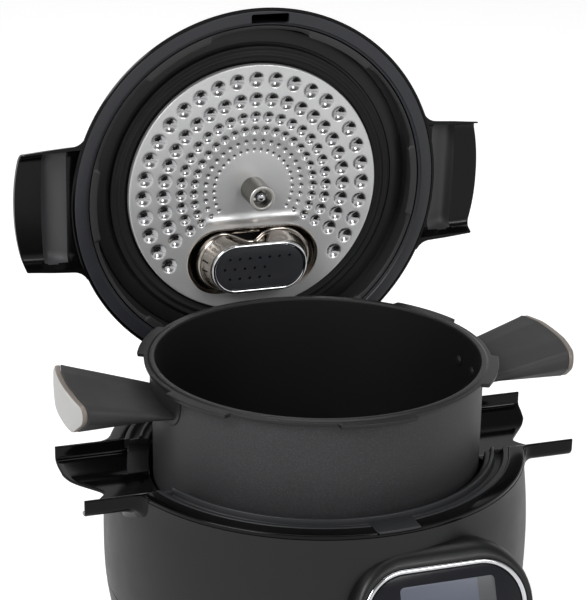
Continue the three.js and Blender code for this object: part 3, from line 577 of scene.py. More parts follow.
def makeBody():
    b = bodyShell
    seam, at = b["seam"], b["seamRadius"]
    # a groove between two soft lips
    groove = [(at - 0.25, seam - 1.6), (at - 0.15, seam - 0.5), (at - 0.8, seam - 0.25),
              (at - 0.8, seam + 0.25), (at + 0.05, seam + 0.5), (at + 0.12, seam + 1.6)]
    outer = smoothed(b["outline"], 5)
    below = [(r, z) for r, z in outer if z <= seam - 3]
    above = [(r, z) for r, z in outer if z >= seam + 3]
    inner = [(r - b["wall"], z) for r, z in b["outline"]][::-1]
    return carved(turnedForm(below + groove + above + inner), channelCut(-0.4), hingeBox())


# the glossy crown on top of the body, and the two open channels that hold the pot handles
crownRing = {"inside": 140.0, "radius": 151.2, "depth": 3.0, "edge": 0.7}
wing = {
    "half": 48.5, "wallDepth": 11.5, "floorHalf": 24.0, "depth": 20.5, "wall": 2.6, "tubSide": 121.4,
    "gutterSide": 131.4, "sideFillet": 12.0, "underFillet": 7.5, "middleFillet": 5.0,
    "tip": ((48.5, 183.0), (44, 182.8), (40, 182.4), (32, 181.0), (26, 177.4), (20, 172.4), (11, 165.2),
            (4, 159.8), (0, 158.4)),
}


def wingPath(more=0.0):
    # the channel's section: upright side walls, then a slope down to a narrow flat floor
    h, f, d, w = wing["half"] + more, wing["floorHalf"], wing["depth"] + more, wing["wallDepth"] + more
    return softened([(-h, 0), (-h, -w, 6), (-f, -d, 34), (f, -d, 34), (h, -w, 6), (h, 0)], 9, closed=False)


def radiusAt(rows, z, beyond):
    # the radius of an outline at a height, between its (radius, height) corners
    for (r0, z0), (r1, z1) in zip(rows, rows[1:]):
        if z0 <= z <= z1:
            return r0 + (r1 - r0) * (z - z0) / (z1 - z0)
    return beyond


def tipAt(y):
    # how far the channel goes out at a distance from its middle
    y = abs(y)
    for (y1, x1), (y0, x0) in zip(wing["tip"], wing["tip"][1:]):
        if y0 <= y <= y1:
            return x0 + (x1 - x0) * ease(y, y0, y1) if y0 < 1 else x0 + (x1 - x0) * (y - y0) / (y1 - y0)
    return wing["tip"][0][1]


def wingRow(y, z, ny, nz):
    # along the channel at one point of its section: (x, how far the root fillet stands out)
    w = wing
    under = w["middleFillet"] + (w["underFillet"] - w["middleFillet"]) * ease(abs(y), 10, 34)
    f = under + (w["sideFillet"] - under) * ease(abs(ny), 0.5, 1.0)
    r = radiusAt(bodyShell["outline"], crownTop + z + nz * f * 0.5, crownRing["radius"])
    centre = sqrt((r + f) ** 2 - (y + ny * f) ** 2)
    touch = centre * r / (r + f)
    rest = f - sqrt(max(0.0, f * f - (centre - touch) ** 2))
    start = w["gutterSide"] if z > -6 else sqrt(w["tubSide"] ** 2 - y * y)
    row = [(start, 0.0), (max(start + 1, touch - 3.0), 0.0), (touch - 1.0, rest * 0.5)]
    for k in range(9):
        x = touch + (centre - touch) * sin(0.5 * pi * k / 8)
        row.append((x, f - sqrt(max(0.0, f * f - (centre - x) ** 2))))
    tip = tipAt(y)
    for k in range(1, 9):
        row.append((centre + (tip - 0.9 - centre) * k / 8, 0.0))
    return row + [(tip - 0.3, 0.0), (tip, 0.0)]


def wingForm():
    dense = finely(wingPath(), 2.6)
    rows = []
    for i, (y, z) in enumerate(dense):
        a, b = Vector(dense[max(i - 1, 0)]), Vector(dense[min(i + 1, len(dense) - 1)])
        along = (b - a).normalized()
        rows.append((y, z, along.y, -along.x, wingRow(y, z, along.y, -along.x)))
    loops = []
    last = len(rows[0][4]) - 1
    for number in range(last + 1):
        pinch = {last: 0.8, last - 1: 0.22}.get(number, 0)
        outside, inside = [], []
        for y, z, ny, nz, row in rows:
            x, flare = row[number]
            grow = flare - pinch
            thick = wing["wall"] - pinch
            outside.append((x, y + ny * grow, crownTop + z + nz * grow))
            inside.append((x, y - ny * thick, crownTop + z - nz * thick))
        for line in (outside, inside):
            for end in (0, -1):
                line[end] = (line[end][0], line[end][1], crownTop - 0.65)
        tops = []
        for a, b in ((outside[-1], inside[-1]), (inside[0], outside[0])):
            a, b = Vector(a), Vector(b)
            wide = max(1e-3, (b - a).length)
            shares = [0.25 / wide, 0.8 / wide, 0.5, 1 - 0.8 / wide, 1 - 0.25 / wide]
            lift = (0.35, 0.58, 0.6, 0.58, 0.35)
            tops.append([tuple(a.lerp(b, s) + Vector((0, 0, up))) for s, up in zip(shares, lift)])
        loops.append(outside + tops[0] + inside[::-1] + tops[1])
    points = [p for loop in loops for p in loop]
    columns, n = len(loops[0]), len(dense)
    faces = gridFaces(len(loops), columns, False)
    for start in (0, len(points) - columns):
        for i in range(n - 1):
            faces.append(tuple(start + k for k in (i, i + 1, 2 * n + 3 - i, 2 * n + 4 - i)))
        faces.append(tuple(start + k for k in range(n - 1, n + 6)))
        faces.append(tuple(start + k for k in list(range(2 * n + 4, 2 * n + 10)) + [0]))
    return points, faces


# the catch block at the front, where the latch of the lid comes down
catchBlock = {"left": -9.0, "right": 22.0, "outer": -150.9, "inner": -134.2, "top": 0.6, "under": -1.2,
              "gap": 0.3}


def catchRoom():
    # the notch in the crown and the gutter that the catch block fills
    c = catchBlock
    low = (c["left"] - c["gap"], -160, crownTop + c["under"] - c["gap"])
    return boxForm(low, (c["right"] + c["gap"], -130, crownTop + 5))


def crownForm():
    c = crownRing
    z = crownTop
    e = c["edge"]
    ring = softened(
        [(c["inside"], z - c["depth"]), (c["radius"] - 0.3, z - c["depth"], 0.3), (c["radius"], z, 1.1),
         (c["inside"], z, e)], 4
    )
    half = wing["half"] - 1.0
    channelRoom = boxForm((-200, -half, z - 30), (200, half, z + 30))
    return carved(turnedForm(ring), channelRoom, hingeBox(), catchRoom())


piece("bodyShell", makeBody(), basePlace, looks["housing"], "base", ["outer_housing"])

rightWing = wingForm()
piece("crownAndWings", together(crownForm(), rightWing, mirroredX(rightWing)), basePlace, looks["gloss"],
      "base", ["crown"])

# the gutter inside the crown catches drips: a raised inner lip, a trough, and a broad outer band
gutter = {"inside": 122.2, "lip": 128.2, "outside": 139.6, "trough": -4.5, "under": -6.9, "lipTop": 1.2,
          "endAt": 45.4, "apronIn": 121.6, "apronOut": 137.4}


def gutterProfile():
    g = gutter
    z = crownTop
    return softened([
        (g["inside"], z + g["under"]), (g["outside"], z + g["under"]), (g["outside"], z + 0.1, 0.8),
        (g["outside"] - 3.4, z + 0.1, 1.0), (g["outside"] - 5.0, z + g["trough"], 2.2),
        (g["lip"] + 1.6, z + g["trough"], 2.0), (g["lip"] + 0.6, z + g["lipTop"], 0.7),
        (g["lip"] - 1.0, z + g["lipTop"], 0.7), (g["lip"] - 2.2, z - 1.0, 0.8),
        (g["inside"] + 1, z - 1.8, 0.6), (g["inside"], z - 3.0, 0.3),
    ], 4)


def apronForm(side, half):
    # below its end the gutter goes on down the channel's wall as a thin apron
    g = gutter
    path = finely([p for p in wingPath() if p[0] * half > 0 and p[1] < -4.5 and abs(p[0]) > 23], 2.5)
    if abs(path[0][0]) < abs(path[-1][0]):
        path = path[::-1]
    path = [(path[0][0], g["under"] + 1.6)] + [p for p in path if p[1] < g["under"]]
    loops = []
    for i, (y, z) in enumerate(path):
        a, b = Vector(path[max(i - 1, 0)]), Vector(path[min(i + 1, len(path) - 1)])
        along = (b - a).normalized()
        across = Vector((along.y, -along.x)) * (1 if along.y * half < 0 else -1)
        loop = []
        for depth, share in ((2.45, 0), (3.1, 0), (3.5, 0.04), (3.5, 0.96), (3.1, 1), (2.45, 1)):
            p = Vector((y, z)) - Vector((half * abs(across.x), -abs(across.y))) * depth
            low, high = sqrt(g["apronIn"] ** 2 - p.x**2), sqrt(g["apronOut"] ** 2 - p.x**2)
            loop.append((side * (low + (high - low) * share), p.x, crownTop + p.y))
        loops.append(loop)
    return loftForm(loops)


def gutterHalf(half):
    ring = turnedForm(gutterProfile(), sector=(17.0, 163.0) if half > 0 else (197.0, 343.0))
    channel = boxForm((-200, -gutter["endAt"], crownTop - 30), (200, gutter["endAt"], crownTop + 30))
    ring = carved(ring, channel, hingeBox() if half > 0 else catchRoom())
    # the trough is closed at each end by a low wall with a rounded top
    g = gutter
    ends = []
    for side in (-1, 1):
        wall = slabForm(roundedBox(8.4, 1.8, 0.6, (side * 124.6, half * (g["endAt"] + 0.9)), 3),
                        crownTop + g["under"] + 0.5, crownTop - 0.9, 0.4)
        ends += [wall, apronForm(side, half)]
    return together(ring, *ends)


for name, node, half in (("gutterFront", "gutter_front", -1), ("gutterRear", "gutter_rear", 1)):
    piece(name, gutterHalf(half), basePlace, looks["trim"], "base", [node])


def catchForm():
    c = catchBlock
    outline = [(c["right"], c["inner"]), (c["left"] + 4.5, c["inner"]), (c["left"], c["inner"] - 3.2),
               (c["left"], c["outer"] + 2.0)]
    for k in range(7):
        x = c["left"] + 1.2 + (c["right"] - c["left"] - 1.2) * k / 6
        outline.append((x, -sqrt(151.0**2 - x * x)))
    return slabForm(outline[::-1], crownTop + c["under"], crownTop + c["top"], 0.45)


piece("catchBlock", catchForm(), basePlace, looks["trim"], "base", ["catch_block"])

# the bright tub inside the body
tub = {"inside": 121.5, "wall": 1.6, "floor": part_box("inner_tub")[0].z * 1000, "top": crownTop - 7.2,
       "flange": 147.4}


def tubForm():
    t = tub
    i, w, f, top = t["inside"], t["wall"], t["floor"], t["top"]
    profile = softened([
        (24, f), (i + w, f, 6), (i + w, top - 2, 1), (t["flange"], top - 2), (t["flange"], top),
        (i, top, 2), (i, f + w, 5), (24, f + w),
    ], 5)
    return carved(turnedForm(profile), channelCut(-1.2), hingeBox())


piece("tub", tubForm(), basePlace, looks["aluminium"], "base", ["inner_tub"])
print("body and crown made")

# the control panel: its plane leans back, with a chrome frame, a dark pane and a smooth hood behind it
panel = {"height": 92, "corner": 32.0, "frame": 3.6, "hoodRings": [
    (3.4, 0.9, 0.0), (5.2, 0.2, 0.1), (7.2, -1.2, 0.3), (9.6, -4.2, 0.8), (12.2, -9.5, 2.0), (14.6, -17, 4.5),
    (16.8, -28, 6.5), (19.0, -42, 8.5), (21.4, -58, 10.5), (23.6, -76, 12.0)],
}
frameLow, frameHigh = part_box("panel_frame")
panelAxis = Vector(joints["start_button_press"]["axis"])
panelLean = atan2(panelAxis.z, -panelAxis.y)
panelWide = (frameHigh.x - frameLow.x) * 1000
dialPoint = Vector(joints["select_dial_turn"]["pos_m"])
dialDrop = 68.0  # from the top edge of the panel to the middle of the dial
panelTurn = Matrix.Rotation(radians(90) - panelLean, 4, "X")
panelPlace = Matrix.Translation(dialPoint) @ panelTurn @ toMetres @ Matrix.Translation((0, dialDrop, -1.06))


def panelOutline(grow, steps=16):
    width, height = panelWide + 2 * grow, panel["height"] + 2 * grow
    return roundedBox(width, height, panel["corner"] + grow, (0, -panel["height"] / 2), steps)


def hoodOutline(grow):
    # behind the frame the hood spreads upwards more than sideways
    start = panel["hoodRings"][0][0]
    aside = start + (grow - start) * (0.35 if grow > start else 1)
    above = start + (grow - start) * (1.45 if grow > start else 1)
    width, height = panelWide + 2 * aside, panel["height"] + 2 * above
    return roundedBox(width, height, panel["corner"] + aside + 0.6 * (above - aside),
                      (0, -panel["height"] / 2), 16)


def hoodForm():
    loops = []
    for grow, out, drop in panel["hoodRings"]:
        loops.append([(x, y - drop, out) for x, y in hoodOutline(grow)])
    lip = [(0.3, 1.1), (1.9, 1.35)]
    pocket = [(-4.6, -40), (-4.4, -3.4), (0.3, -3.2), (0.3, 0.4)]
    front = [[(x, y, out) for x, y in panelOutline(grow)] for grow, out in pocket + lip]
    return loftForm(front + loops)


def seatedOnBody(form):
    # what stands inside the body's wall is cut away, so the hood ends on its skin
    skin = smoothed(bodyShell["outline"], 3)
    core = turnedForm([(0, 5)] + [(r - 1.4, z) for r, z in skin] + [(0, skin[-1][1])], 128)
    return carved(moved(form, basePlace.inverted() @ panelPlace), core)


piece("controlHood", seatedOnBody(hoodForm()), basePlace, looks["housing"], "base",
      ["control_hood"], crease=50)


def frameForm():
    profile = [(0.0, -2.4), (0.0, 0.5), (-0.5, 1.15), (-1.5, 1.55), (-2.4, 1.4), (-3.2, 0.7), (-3.55, -0.1),
               (-3.55, -2.4)]
    loops = []
    for grow, out in profile:
        loops.append([(x, y, out) for x, y in panelOutline(grow, 20)])
    return loftForm(loops, ring=True)


piece("panelRing", frameForm(), panelPlace, looks["chrome"], "base", ["panel_frame"], crease=60)

display = {"width": 68, "height": 36, "drop": 12, "right": 3, "corner": 3.2}
dial = {"radius": 15.0, "high": 2.0, "deep": 8.0, "start": 9.5, "startHigh": 1.2, "startDeep": 7.2}
pane = slabForm(panelOutline(-panel["frame"] - 0.35), -2.4, 0.0, 0.3)
pane = carved(pane, discForm(dial["radius"] + 0.5, -5, 5, middle=(0, -dialDrop)))
piece("darkPane", pane, panelPlace, looks["glass"], "base", ["panel_glass"])
window = roundedBox(display["width"], display["height"], display["corner"],
                    (display["right"], -display["drop"] - display["height"] / 2))
piece("displayPane", slabForm(window, -0.6, 0.12, 0.08), panelPlace, looks["display"], "base",
      ["display_module"])


def dialForm():
    r, s, z, low = dial["radius"], dial["start"] + 0.5, dial["high"], -dial["deep"]
    ring = softened([(s, low), (r, low), (r, z, 0.9), (s + 2.0, z, 1.0), (s, z - 0.9, 0.4)], 5)
    return turnedForm(ring, 96)


def startForm():
    r, z, low = dial["start"], dial["startHigh"], -dial["startDeep"]
    return turnedForm(softened([(0, low), (r, low), (r, z, 0.9), (0, z - 0.5)], 5), 72)


atDial = panelPlace @ Matrix.Translation((0, -dialDrop, 0))
piece("selectDial", dialForm(), atDial, looks["chrome"], "select_dial", ["select_dial"])
piece("startButton", startForm(), atDial, looks["satinBlack"], "start_button",
      ["start_button"])
print("panel made")

# the pot: turned, with five lugs round its flange
pot = {
    "inside": 116.5, "outside": 118.5, "flange": 124.5, "lug": 129.5, "lugHalf": 13.0,
    "lugs": (-150, -90, -30, 30, 150), "bottom": 82.7, "floor": 4.0, "thick": 3.5,
}


def lugReach(angle):
    # how far a lug stands out at an angle: wholly on a lug, not at all beside it
    reach = 0.0
    for lug in pot["lugs"]:
        away = abs((angle - lug + 180) % 360 - 180)
        reach = max(reach, 1 - ease(away, pot["lugHalf"] - 0.9, pot["lugHalf"]))
    return reach


def potAngles():
    made = set()
    for k in range(240):
        made.add(round(360 * k / 240 - 180, 3))
    for lug in pot["lugs"]:
        for side in (-1, 1):
            for away in (-1.0, -0.75, -0.5, -0.25, 0.0, 0.3):
                made.add(round(lug + side * (pot["lugHalf"] + away), 3))
    return sorted(made)


def potProfile(angle):
    p = pot
    reach = p["flange"] + (p["lug"] - p["flange"]) * lugReach(angle)
    z, b, i, o = rimTop, p["bottom"], p["inside"], p["outside"]
    return softened([
        (0, b), (o - 1, b, 7), (o, b + 9, 3), (o, z - p["thick"], 0.6), (reach - 0.4, z - p["thick"], 0.5),
        (reach, z - 0.9, 0.5), (reach - 0.6, z - 0.7, 0.6), (i + 5.4, z - 0.7, 0.5), (i + 3.9, z, 0.8),
        (i + 0.3, z, 0.9), (i, z - 1.6, 1.0), (i, b + p["floor"] + 9, 6), (i - 9, b + p["floor"], 8),
        (0, b + p["floor"]),
    ], 4)


piece("innerPot", turnedForm(potProfile, sector=potAngles()), potPlace, looks["pot"], "pot",
      ["pot"])

# the pot handles flare outwards from a bracket to a bulged cap
handle = {
    "root": 114.0, "tip": 177.8, "furthest": 188.6, "bulge": 5.4, "band": 3.6, "potWall": 119.6,
    "rootHalf": 32.0, "tipHalf": 43.6, "rootTop": -21.0, "tipTop": -1.0, "rootBottom": -28.8,
    "bottom": -28.8, "topCorner": 10.0, "sideCorner": 10.0, "bottomCorner": 12.0,
}


def handleLoop(share, inset):
    # the section of a handle at a share of its length, as (y, z) points
    h = handle
    share = min(max(share, 0), 1)
    half = h["rootHalf"] + (h["tipHalf"] - h["rootHalf"]) * share - inset
    top = h["rootTop"] + (h["tipTop"] - h["rootTop"]) * share - inset
    low = h["rootBottom"] + (h["bottom"] - h["rootBottom"]) * share + inset
    tall = top - low
    arch = 0.6 + 1.9 * share
    side = low + 0.5 * tall
    foot = 0.58 * half
    upper, lower = min(h["topCorner"], 0.4 * tall), min(h["sideCorner"], 0.35 * tall)
    corners = [
        (foot, low, h["bottomCorner"]), (half, side, lower), (half - 0.5, top - arch, upper),
        (half * 0.45, top - 0.12 * arch, 30), (-half * 0.45, top - 0.12 * arch, 30),
        (-half + 0.5, top - arch, upper), (-half, side, lower), (-foot, low, h["bottomCorner"]),
    ]
    return softened(corners, 7)


def endBulge(y):
    # the end of the handle stands out in its middle
    return handle["bulge"] * (1 - min(1, abs(y) / handle["tipHalf"]) ** 2.2)


def denseLoop(share, inset, counts):
    # a section with the same added points between its corners at every share
    row = handleLoop(share, inset)
    made = []
    for k, count in enumerate(counts):
        a, b = row[k], row[(k + 1) % len(row)]
        made += [(a[0] + (b[0] - a[0]) * i / count, a[1] + (b[1] - a[1]) * i / count) for i in range(count)]
    return made


tipRow = handleLoop(1, 0.01)
tipCounts = []
for (y0, z0), (y1, z1) in zip(tipRow, tipRow[1:] + tipRow[:1]):
    tipCounts.append(max(1, round(hypot(y1 - y0, z1 - z0) / 3)))


def handleBar():
    h = handle
    length = h["tip"] - h["root"]
    loops = []
    for k in range(26):
        share = min(1, k / 24)
        inset = {25: 0.5, 0: 0.6}.get(k, 0)
        loop = []
        for y, z in denseLoop(share, inset, tipCounts):
            x = h["root"] + length * share + endBulge(y) * share**3 - (0.5 if k == 24 else 0)
            loop.append((x, y, rimTop + z))
        loops.append(loop)
    bar = loftForm(loops)
    low, high, wall = rimTop - 60, rimTop + 20, h["potWall"]
    return carved(bar, turnedForm([(0, low), (wall, low), (wall, high), (0, high)], 128))


def capParts():
    h = handle
    start, wide = h["tip"] + 0.3, h["band"]
    band = [(0, 0.6), (0.5, 0.25), (wide - 0.5, 0.25), (wide, 0.6)]
    loops = []
    for x, inset in band:
        loops.append([(start + x + endBulge(y), y, rimTop + z) for y, z in denseLoop(1, inset, tipCounts)])
    middle = (h["tipTop"] + h["bottom"]) / 2
    face = []
    rim = denseLoop(1, 0.45, tipCounts)
    steps = 12
    base = start + wide + 0.02
    rise = h["furthest"] - base - h["bulge"]
    for k in range(steps + 1):
        share = 1 - k / steps
        loop = []
        for y, z in rim:
            a, b = y * share, middle + (z - middle) * share
            edge = ease(1 - share, -0.02, 0.12)
            across = 1 - 0.3 * ((b - middle) / 14.5) ** 2
            loop.append((base + endBulge(a) + (0.2 + (rise - 0.2) * across) * edge, a, rimTop + b))
        face.append(loop)
    face[0] = [(base + endBulge(y), y, rimTop + z) for y, z in rim]
    return loftForm(loops), loftForm(face)


bracket = {"half": 19.0, "straight": 12.0, "edge": -11.0, "low": -30.5, "high": -4.6, "thin": 119.4,
           "thick": 120.9}


def bracketProfile(angle):
    k = bracket
    away = abs(angle)
    share = max(0.0, (away - k["straight"]) / (k["half"] - k["straight"]))
    low = rimTop + k["edge"] + (k["low"] - k["edge"]) * sqrt(max(0.0, 1 - min(1, share) ** 2.2))
    outer = k["thick"] + (k["thin"] - k["thick"]) * ease(away, 8, k["half"] - 2)
    return softened([(117.9, low), (outer, low, 0.8), (outer, rimTop + k["high"], 0.4),
                     (117.9, rimTop + k["high"])], 3)


def bracketForm():
    half = bracket["half"]
    sector = [half * sin(0.5 * pi * k / 16) for k in range(-16, 17)]
    return turnedForm(bracketProfile, sector=sector)


band, capFace = capParts()
for side, turn in (("Right", lambda form: form), ("Left", mirroredX)):
    low = side.lower()
    piece(f"potHandle{side}", turn(handleBar()), potPlace, looks["handle"], "pot",
          [f"pot_handle_{low}"])
    piece(f"capBand{side}", turn(band), potPlace, looks["capBand"], "pot",
          [f"handle_cap_{low}"], crease=50)
    piece(f"capFace{side}", turn(capFace), potPlace, looks["capFace"], "pot",
          [f"handle_cap_{low}"], crease=50)
    piece(f"bracket{side}", turn(bracketForm()), potPlace, looks["bracket"], "pot",
          [f"bracket_{low}"])
print("pot made")

# the lid: a gloss cover, and under it the flat ring that closes on the crown
lid = {
    "cover": ((145.6, 216.6), (145.3, 218.4), (144.2, 221), (142.2, 226), (139.4, 232.6), (135.4, 241),
              (129.2, 250.2), (119, 260), (104, 269), (84, 276.4), (58, 280.8), (28, 282)),
    "inside": ((0, 279.4), (57, 278.2), (82, 273.9), (101.6, 266.8), (116.6, 258), (126.4, 248.6),
               (132.7, 239.8), (136.9, 231.4), (139.9, 225), (142.0, 220.4)),
    "height": 282.0, "ringOut": 143.3, "ringIn": 132.6, "ringThick": 3.0,
    "rearHalf": 38.2, "rearFront": 136.5, "armHalf": 27.3, "armFront": 138.7, "armTop": crownTop + 34.3,
    "shaft": 9.5, "steam": (62, 46), "steamBore": 10, "slot": (-8.2, 21.2, -140.9, -133.7),
}


def rearCuts():
    q = lid
    return (
        boxForm((-q["rearHalf"], q["rearFront"], 150), (q["rearHalf"], 260, crownTop + 11)),
        boxForm((-q["armHalf"], q["armFront"], 150), (q["armHalf"], 260, q["armTop"])),
    )


def coverOutline():
    return smoothed(lid["cover"], 5) + [(0, lid["height"])]


def coverForm():
    q = lid
    z = lidBottom
    seat = q["ringOut"] + 0.35
    outer = [(145.0, z)] + coverOutline()
    inner = list(q["inside"]) + [(seat, 219.4), (seat, z)]
    holes = [discForm(q["shaft"], 200, 400), discForm(q["steamBore"], 200, 400, middle=q["steam"])]
    return carved(turnedForm(outer + inner, 224), *rearCuts(), *holes)


piece("coverShell", coverForm(), lidPlace, looks["gloss"], "lid", ["lid_cover"], crease=40)


def underRingForm():
    q = lid
    z = lidBottom
    i, o, t = q["ringIn"], q["ringOut"], q["ringThick"]
    ring = turnedForm(softened([
        (i, z + 1.4, 0.3), (i + 1.5, z + 1.1, 0.2), (i + 2.0, z + 0.05, 0.4), (o, z, 0.7),
        (o, z + t, 0.3), (i, z + t, 0.4),
    ], 4), 224)
    x0, x1, y0, y1 = q["slot"]
    slot = slabForm(roundedBox(x1 - x0, y1 - y0, 1.4, ((x0 + x1) / 2, (y0 + y1) / 2), 4), 150, 400)
    return carved(ring, slot, *rearCuts())


piece("underRing", underRingForm(), lidPlace, looks["lidRing"], "lid", ["under_ring"])

# the locking ring: six jaws, with a thin lip between them that ends in a hook at each jaw
lock = {"inside": 130.3, "outside": 131.7, "jaw": 126.0, "jawHalf": 12.0, "low": 217.5, "jawTop": 221.5,
        "top": 237.5, "step": 126.1, "lip": 128.9, "bend": 1.1}


def lockProfile(angle):
    k = lock
    away = abs((angle + 30) % 60 - 30)
    opened = ease(away, k["jawHalf"] - 0.1, k["jawHalf"] + k["bend"])
    hook = 1 - ease(away, k["jawHalf"] + k["bend"], k["jawHalf"] + 4.5)
    inner = k["jaw"] + (k["lip"] - k["jaw"]) * opened - 0.9 * opened * hook
    low = k["low"] + 1.1 * opened
    top = k["jawTop"] - 1.4 * opened
    return softened([
        (inner, low, 0.5), (k["outside"], k["low"], 0.5), (k["outside"], k["top"]), (k["step"], k["top"]),
        (k["step"], k["top"] - 1.5), (k["inside"], k["top"] - 1.5), (k["inside"], top), (inner, top, 0.5),
    ], 3)


def lockAngles():
    # close together at the ends of the jaws
    away = [0, 3, 6, 9, 11, 11.8, 11.9, 12.1, 12.3, 12.5, 12.7, 12.9, 13.1, 13.3, 14, 15, 16, 16.6, 18, 20.5,
            23, 25.5, 28, 30]
    made = {round(60 * i + side * a, 3) for i in range(6) for side in (-1, 1) for a in away}
    return sorted(angle for angle in made if -30 <= angle < 330)


piece("lockRing", turnedForm(lockProfile, sector=lockAngles()), lidPlace, looks["lockGrey"], "locking_ring",
      ["locking_ring"])

# the pressure plate with the post that carries the inner lid, and the gasket round it
plate = {"z": 235.0, "face": 100.0, "edge": 131.0, "neck": 125.6, "thick": 3.0, "post": 4.0,
         "postLow": 222.5, "seat": 115.0, "pipeHole": 6.0, "pinHole": 7.4, "pinAt": (-24, 57)}
gasketEdges = {"inside": 101.0, "outside": 113.0}


def plateForm():
    p = plate
    z, t, face, post = p["z"], p["thick"], p["face"], p["postLow"]
    body = turnedForm(softened([
        (0, post), (p["post"], post), (p["post"], z, 1.0), (face - 0.6, z), (face, z, 0.3),
        (p["seat"], z, 0.5), (p["seat"], z - 1, 0.4), (p["neck"], z - 1, 0.6), (p["neck"], z + t),
        (p["edge"], z + t, 0.5), (p["edge"], z + 2 * t, 0.8), (0, z + 2 * t),
    ], 3), 192)
    pipe = discForm(p["pipeHole"], 150, 400, middle=lid["steam"])
    return carved(body, pipe, discForm(p["pinHole"], 150, 400, middle=p["pinAt"]))


piece("pressurePlate", plateForm(), lidPlace, looks["satinBlack"], "lid", ["pressure_plate"])


def gasketForm():
    i, o = gasketEdges["inside"], gasketEdges["outside"]
    z = plate["z"]
    return turnedForm(softened([
        (i, z - 0.3), (o, z - 0.3, 0.4), (o - 0.5, z - 4.4, 1.2), (o - 2.6, z - 3.9, 1.2),
        (o - 4.4, z - 3.4, 2.0), (o - 6.8, z - 5.4, 1.4), (o - 8.8, z - 4.4, 1.2), (i, z - 3.8, 0.6),
    ], 4), 192)


piece("gasketRing", gasketForm(), lidPlace, looks["rubber"], "lid", ["gasket"], crease=60)
print("lid rings made")

# the inner lid: its rows of dimples and the bar beside the valve cover follow rules set on one modifier
steelLid = {
    "radius": 99.4, "flat": 97.2, "z": rimTop - 0.2, "thick": 1.2, "bore": 4.5, "lip": 4.6,
    "dish": 2.2, "dishFrom": 30, "dishTo": 56, "swell": 0.4,
    "rows": ((87.8, 6.2, 130), (72.1, 5.8, 120), (58.4, 4.5, 120), (48.0, 3.6, 120), (38.8, 2.1, 120),
             (31.5, 1.7, 120)),
    "pitch": 10.0, "depthShare": 0.46, "barY": 24.0, "barHalf": 33.0, "barHigh": 1.5, "barWide": 2.6,
    "window": (53.0, 26.0, 57.0),
}


def steelProfile():
    s = steelLid
    z, r, t = s["z"], s["radius"], s["thick"]

    def height(at):
        dished = s["dish"] * (1 - ease(at, s["dishFrom"], s["dishTo"]))
        return z + dished - s["swell"] * sin(pi * max(0, min(1, (at - 58) / 40)))

    front = []
    at = s["bore"]
    while at < s["flat"]:
        front.append((at, height(at)))
        at += 0.62 if at > 28 else 1.4
    lip = softened([(s["flat"], height(s["flat"])), (r, z + 0.1, 1.5), (r, z + s["lip"], 0.2),
                    (r - t, z + s["lip"], 0.2), (r - t, z + t + 0.6, 0.9),
                    (96, z + t + 0.3)], 5, closed=False)
    back = [(at, height(at) + t) for at in (92, 84, 74, 66, 60, 54, 48, 42, 36, 30, 20, 12, s["bore"])]
    return front + lip + back


def withRules(form, name, look, inputs, build):
    # runs a modifier tree over a form: inputs holds its values by name, build makes its nodes
    thing = scratch(form, name)
    group = bpy.data.node_groups.new(name + "Rule", "GeometryNodeTree")
    group.interface.new_socket("Geometry", in_out="INPUT", socket_type="NodeSocketGeometry")
    group.interface.new_socket("Geometry", in_out="OUTPUT", socket_type="NodeSocketGeometry")
    keys = {}
    for key, value in inputs.items():
        kind = "NodeSocketInt" if isinstance(value, int) else "NodeSocketFloat"
        keys[key] = group.interface.new_socket(key, in_out="INPUT", socket_type=kind).identifier
    tree = Tree(group)
    start = group.nodes.new("NodeGroupInput")
    given = {socket.name: Socket(tree, socket) for socket in start.outputs if socket.name}
    made = build(tree, given)
    real = tree.node("GeometryNodeRealizeInstances", None, [made])
    done = tree.node("GeometryNodeSetMaterial", None, {"Geometry": real, "Material": look})
    tree.node("NodeGroupOutput", None, [done])
    modifier = thing.modifiers.new("rule", "NODES")
    modifier.node_group = group
    for key, value in inputs.items():
        modifier[keys[key]] = value
    result = takenFrom(thing)
    discard(thing)
    bpy.data.node_groups.remove(group)
    return result


def dimpleRule(tree, given):
    place = tree.node("GeometryNodeInputPosition")
    x, y = (tree.node("ShaderNodeSeparateXYZ", None, [place], axis) for axis in "XY")
    radius = (x * x + y * y) ** 0.5
    bearing = tree.maths("ARCTAN2", x, y * -1.0)
    pitch = given["Pitch degrees"] * (pi / 180)
    turn = bearing / pitch
    step = tree.maths("ROUND", turn)
    off = (turn - step) * pitch
    total = None
    for k in range(len(steelLid["rows"])):
        row, size, reach = (given[f"Row {k + 1} {value}"] for value in ("radius", "size", "reach"))
        along, across = off * row, radius - row
        away = (along * along + across * across) / (size * size)
        bowl = tree.maths("MAXIMUM", 1 - away, 0.0) ** 1.1
        within = tree.maths("ABSOLUTE", step) * pitch < reach * (pi / 180) + 0.02
        sink = bowl * size * given["Depth share"] * within
        total = sink if total is None else total + sink
    barAcross = (y - given["Bar place"]) / given["Bar width"]
    barAlong = (tree.maths("ABSOLUTE", x) - given["Bar half length"]) / 7.0
    ends = tree.maths("MINIMUM", tree.maths("MAXIMUM", 1 - barAlong, 0.0), 1.0)
    rise = tree.maths("EXPONENT", barAcross * barAcross * -1.0)
    total = total - rise * ends * given["Bar height"]
    offset = tree.node("ShaderNodeCombineXYZ", None, [0.0, 0.0, total])
    return tree.node("GeometryNodeSetPosition", None, {"Geometry": given["Geometry"], "Offset": offset})


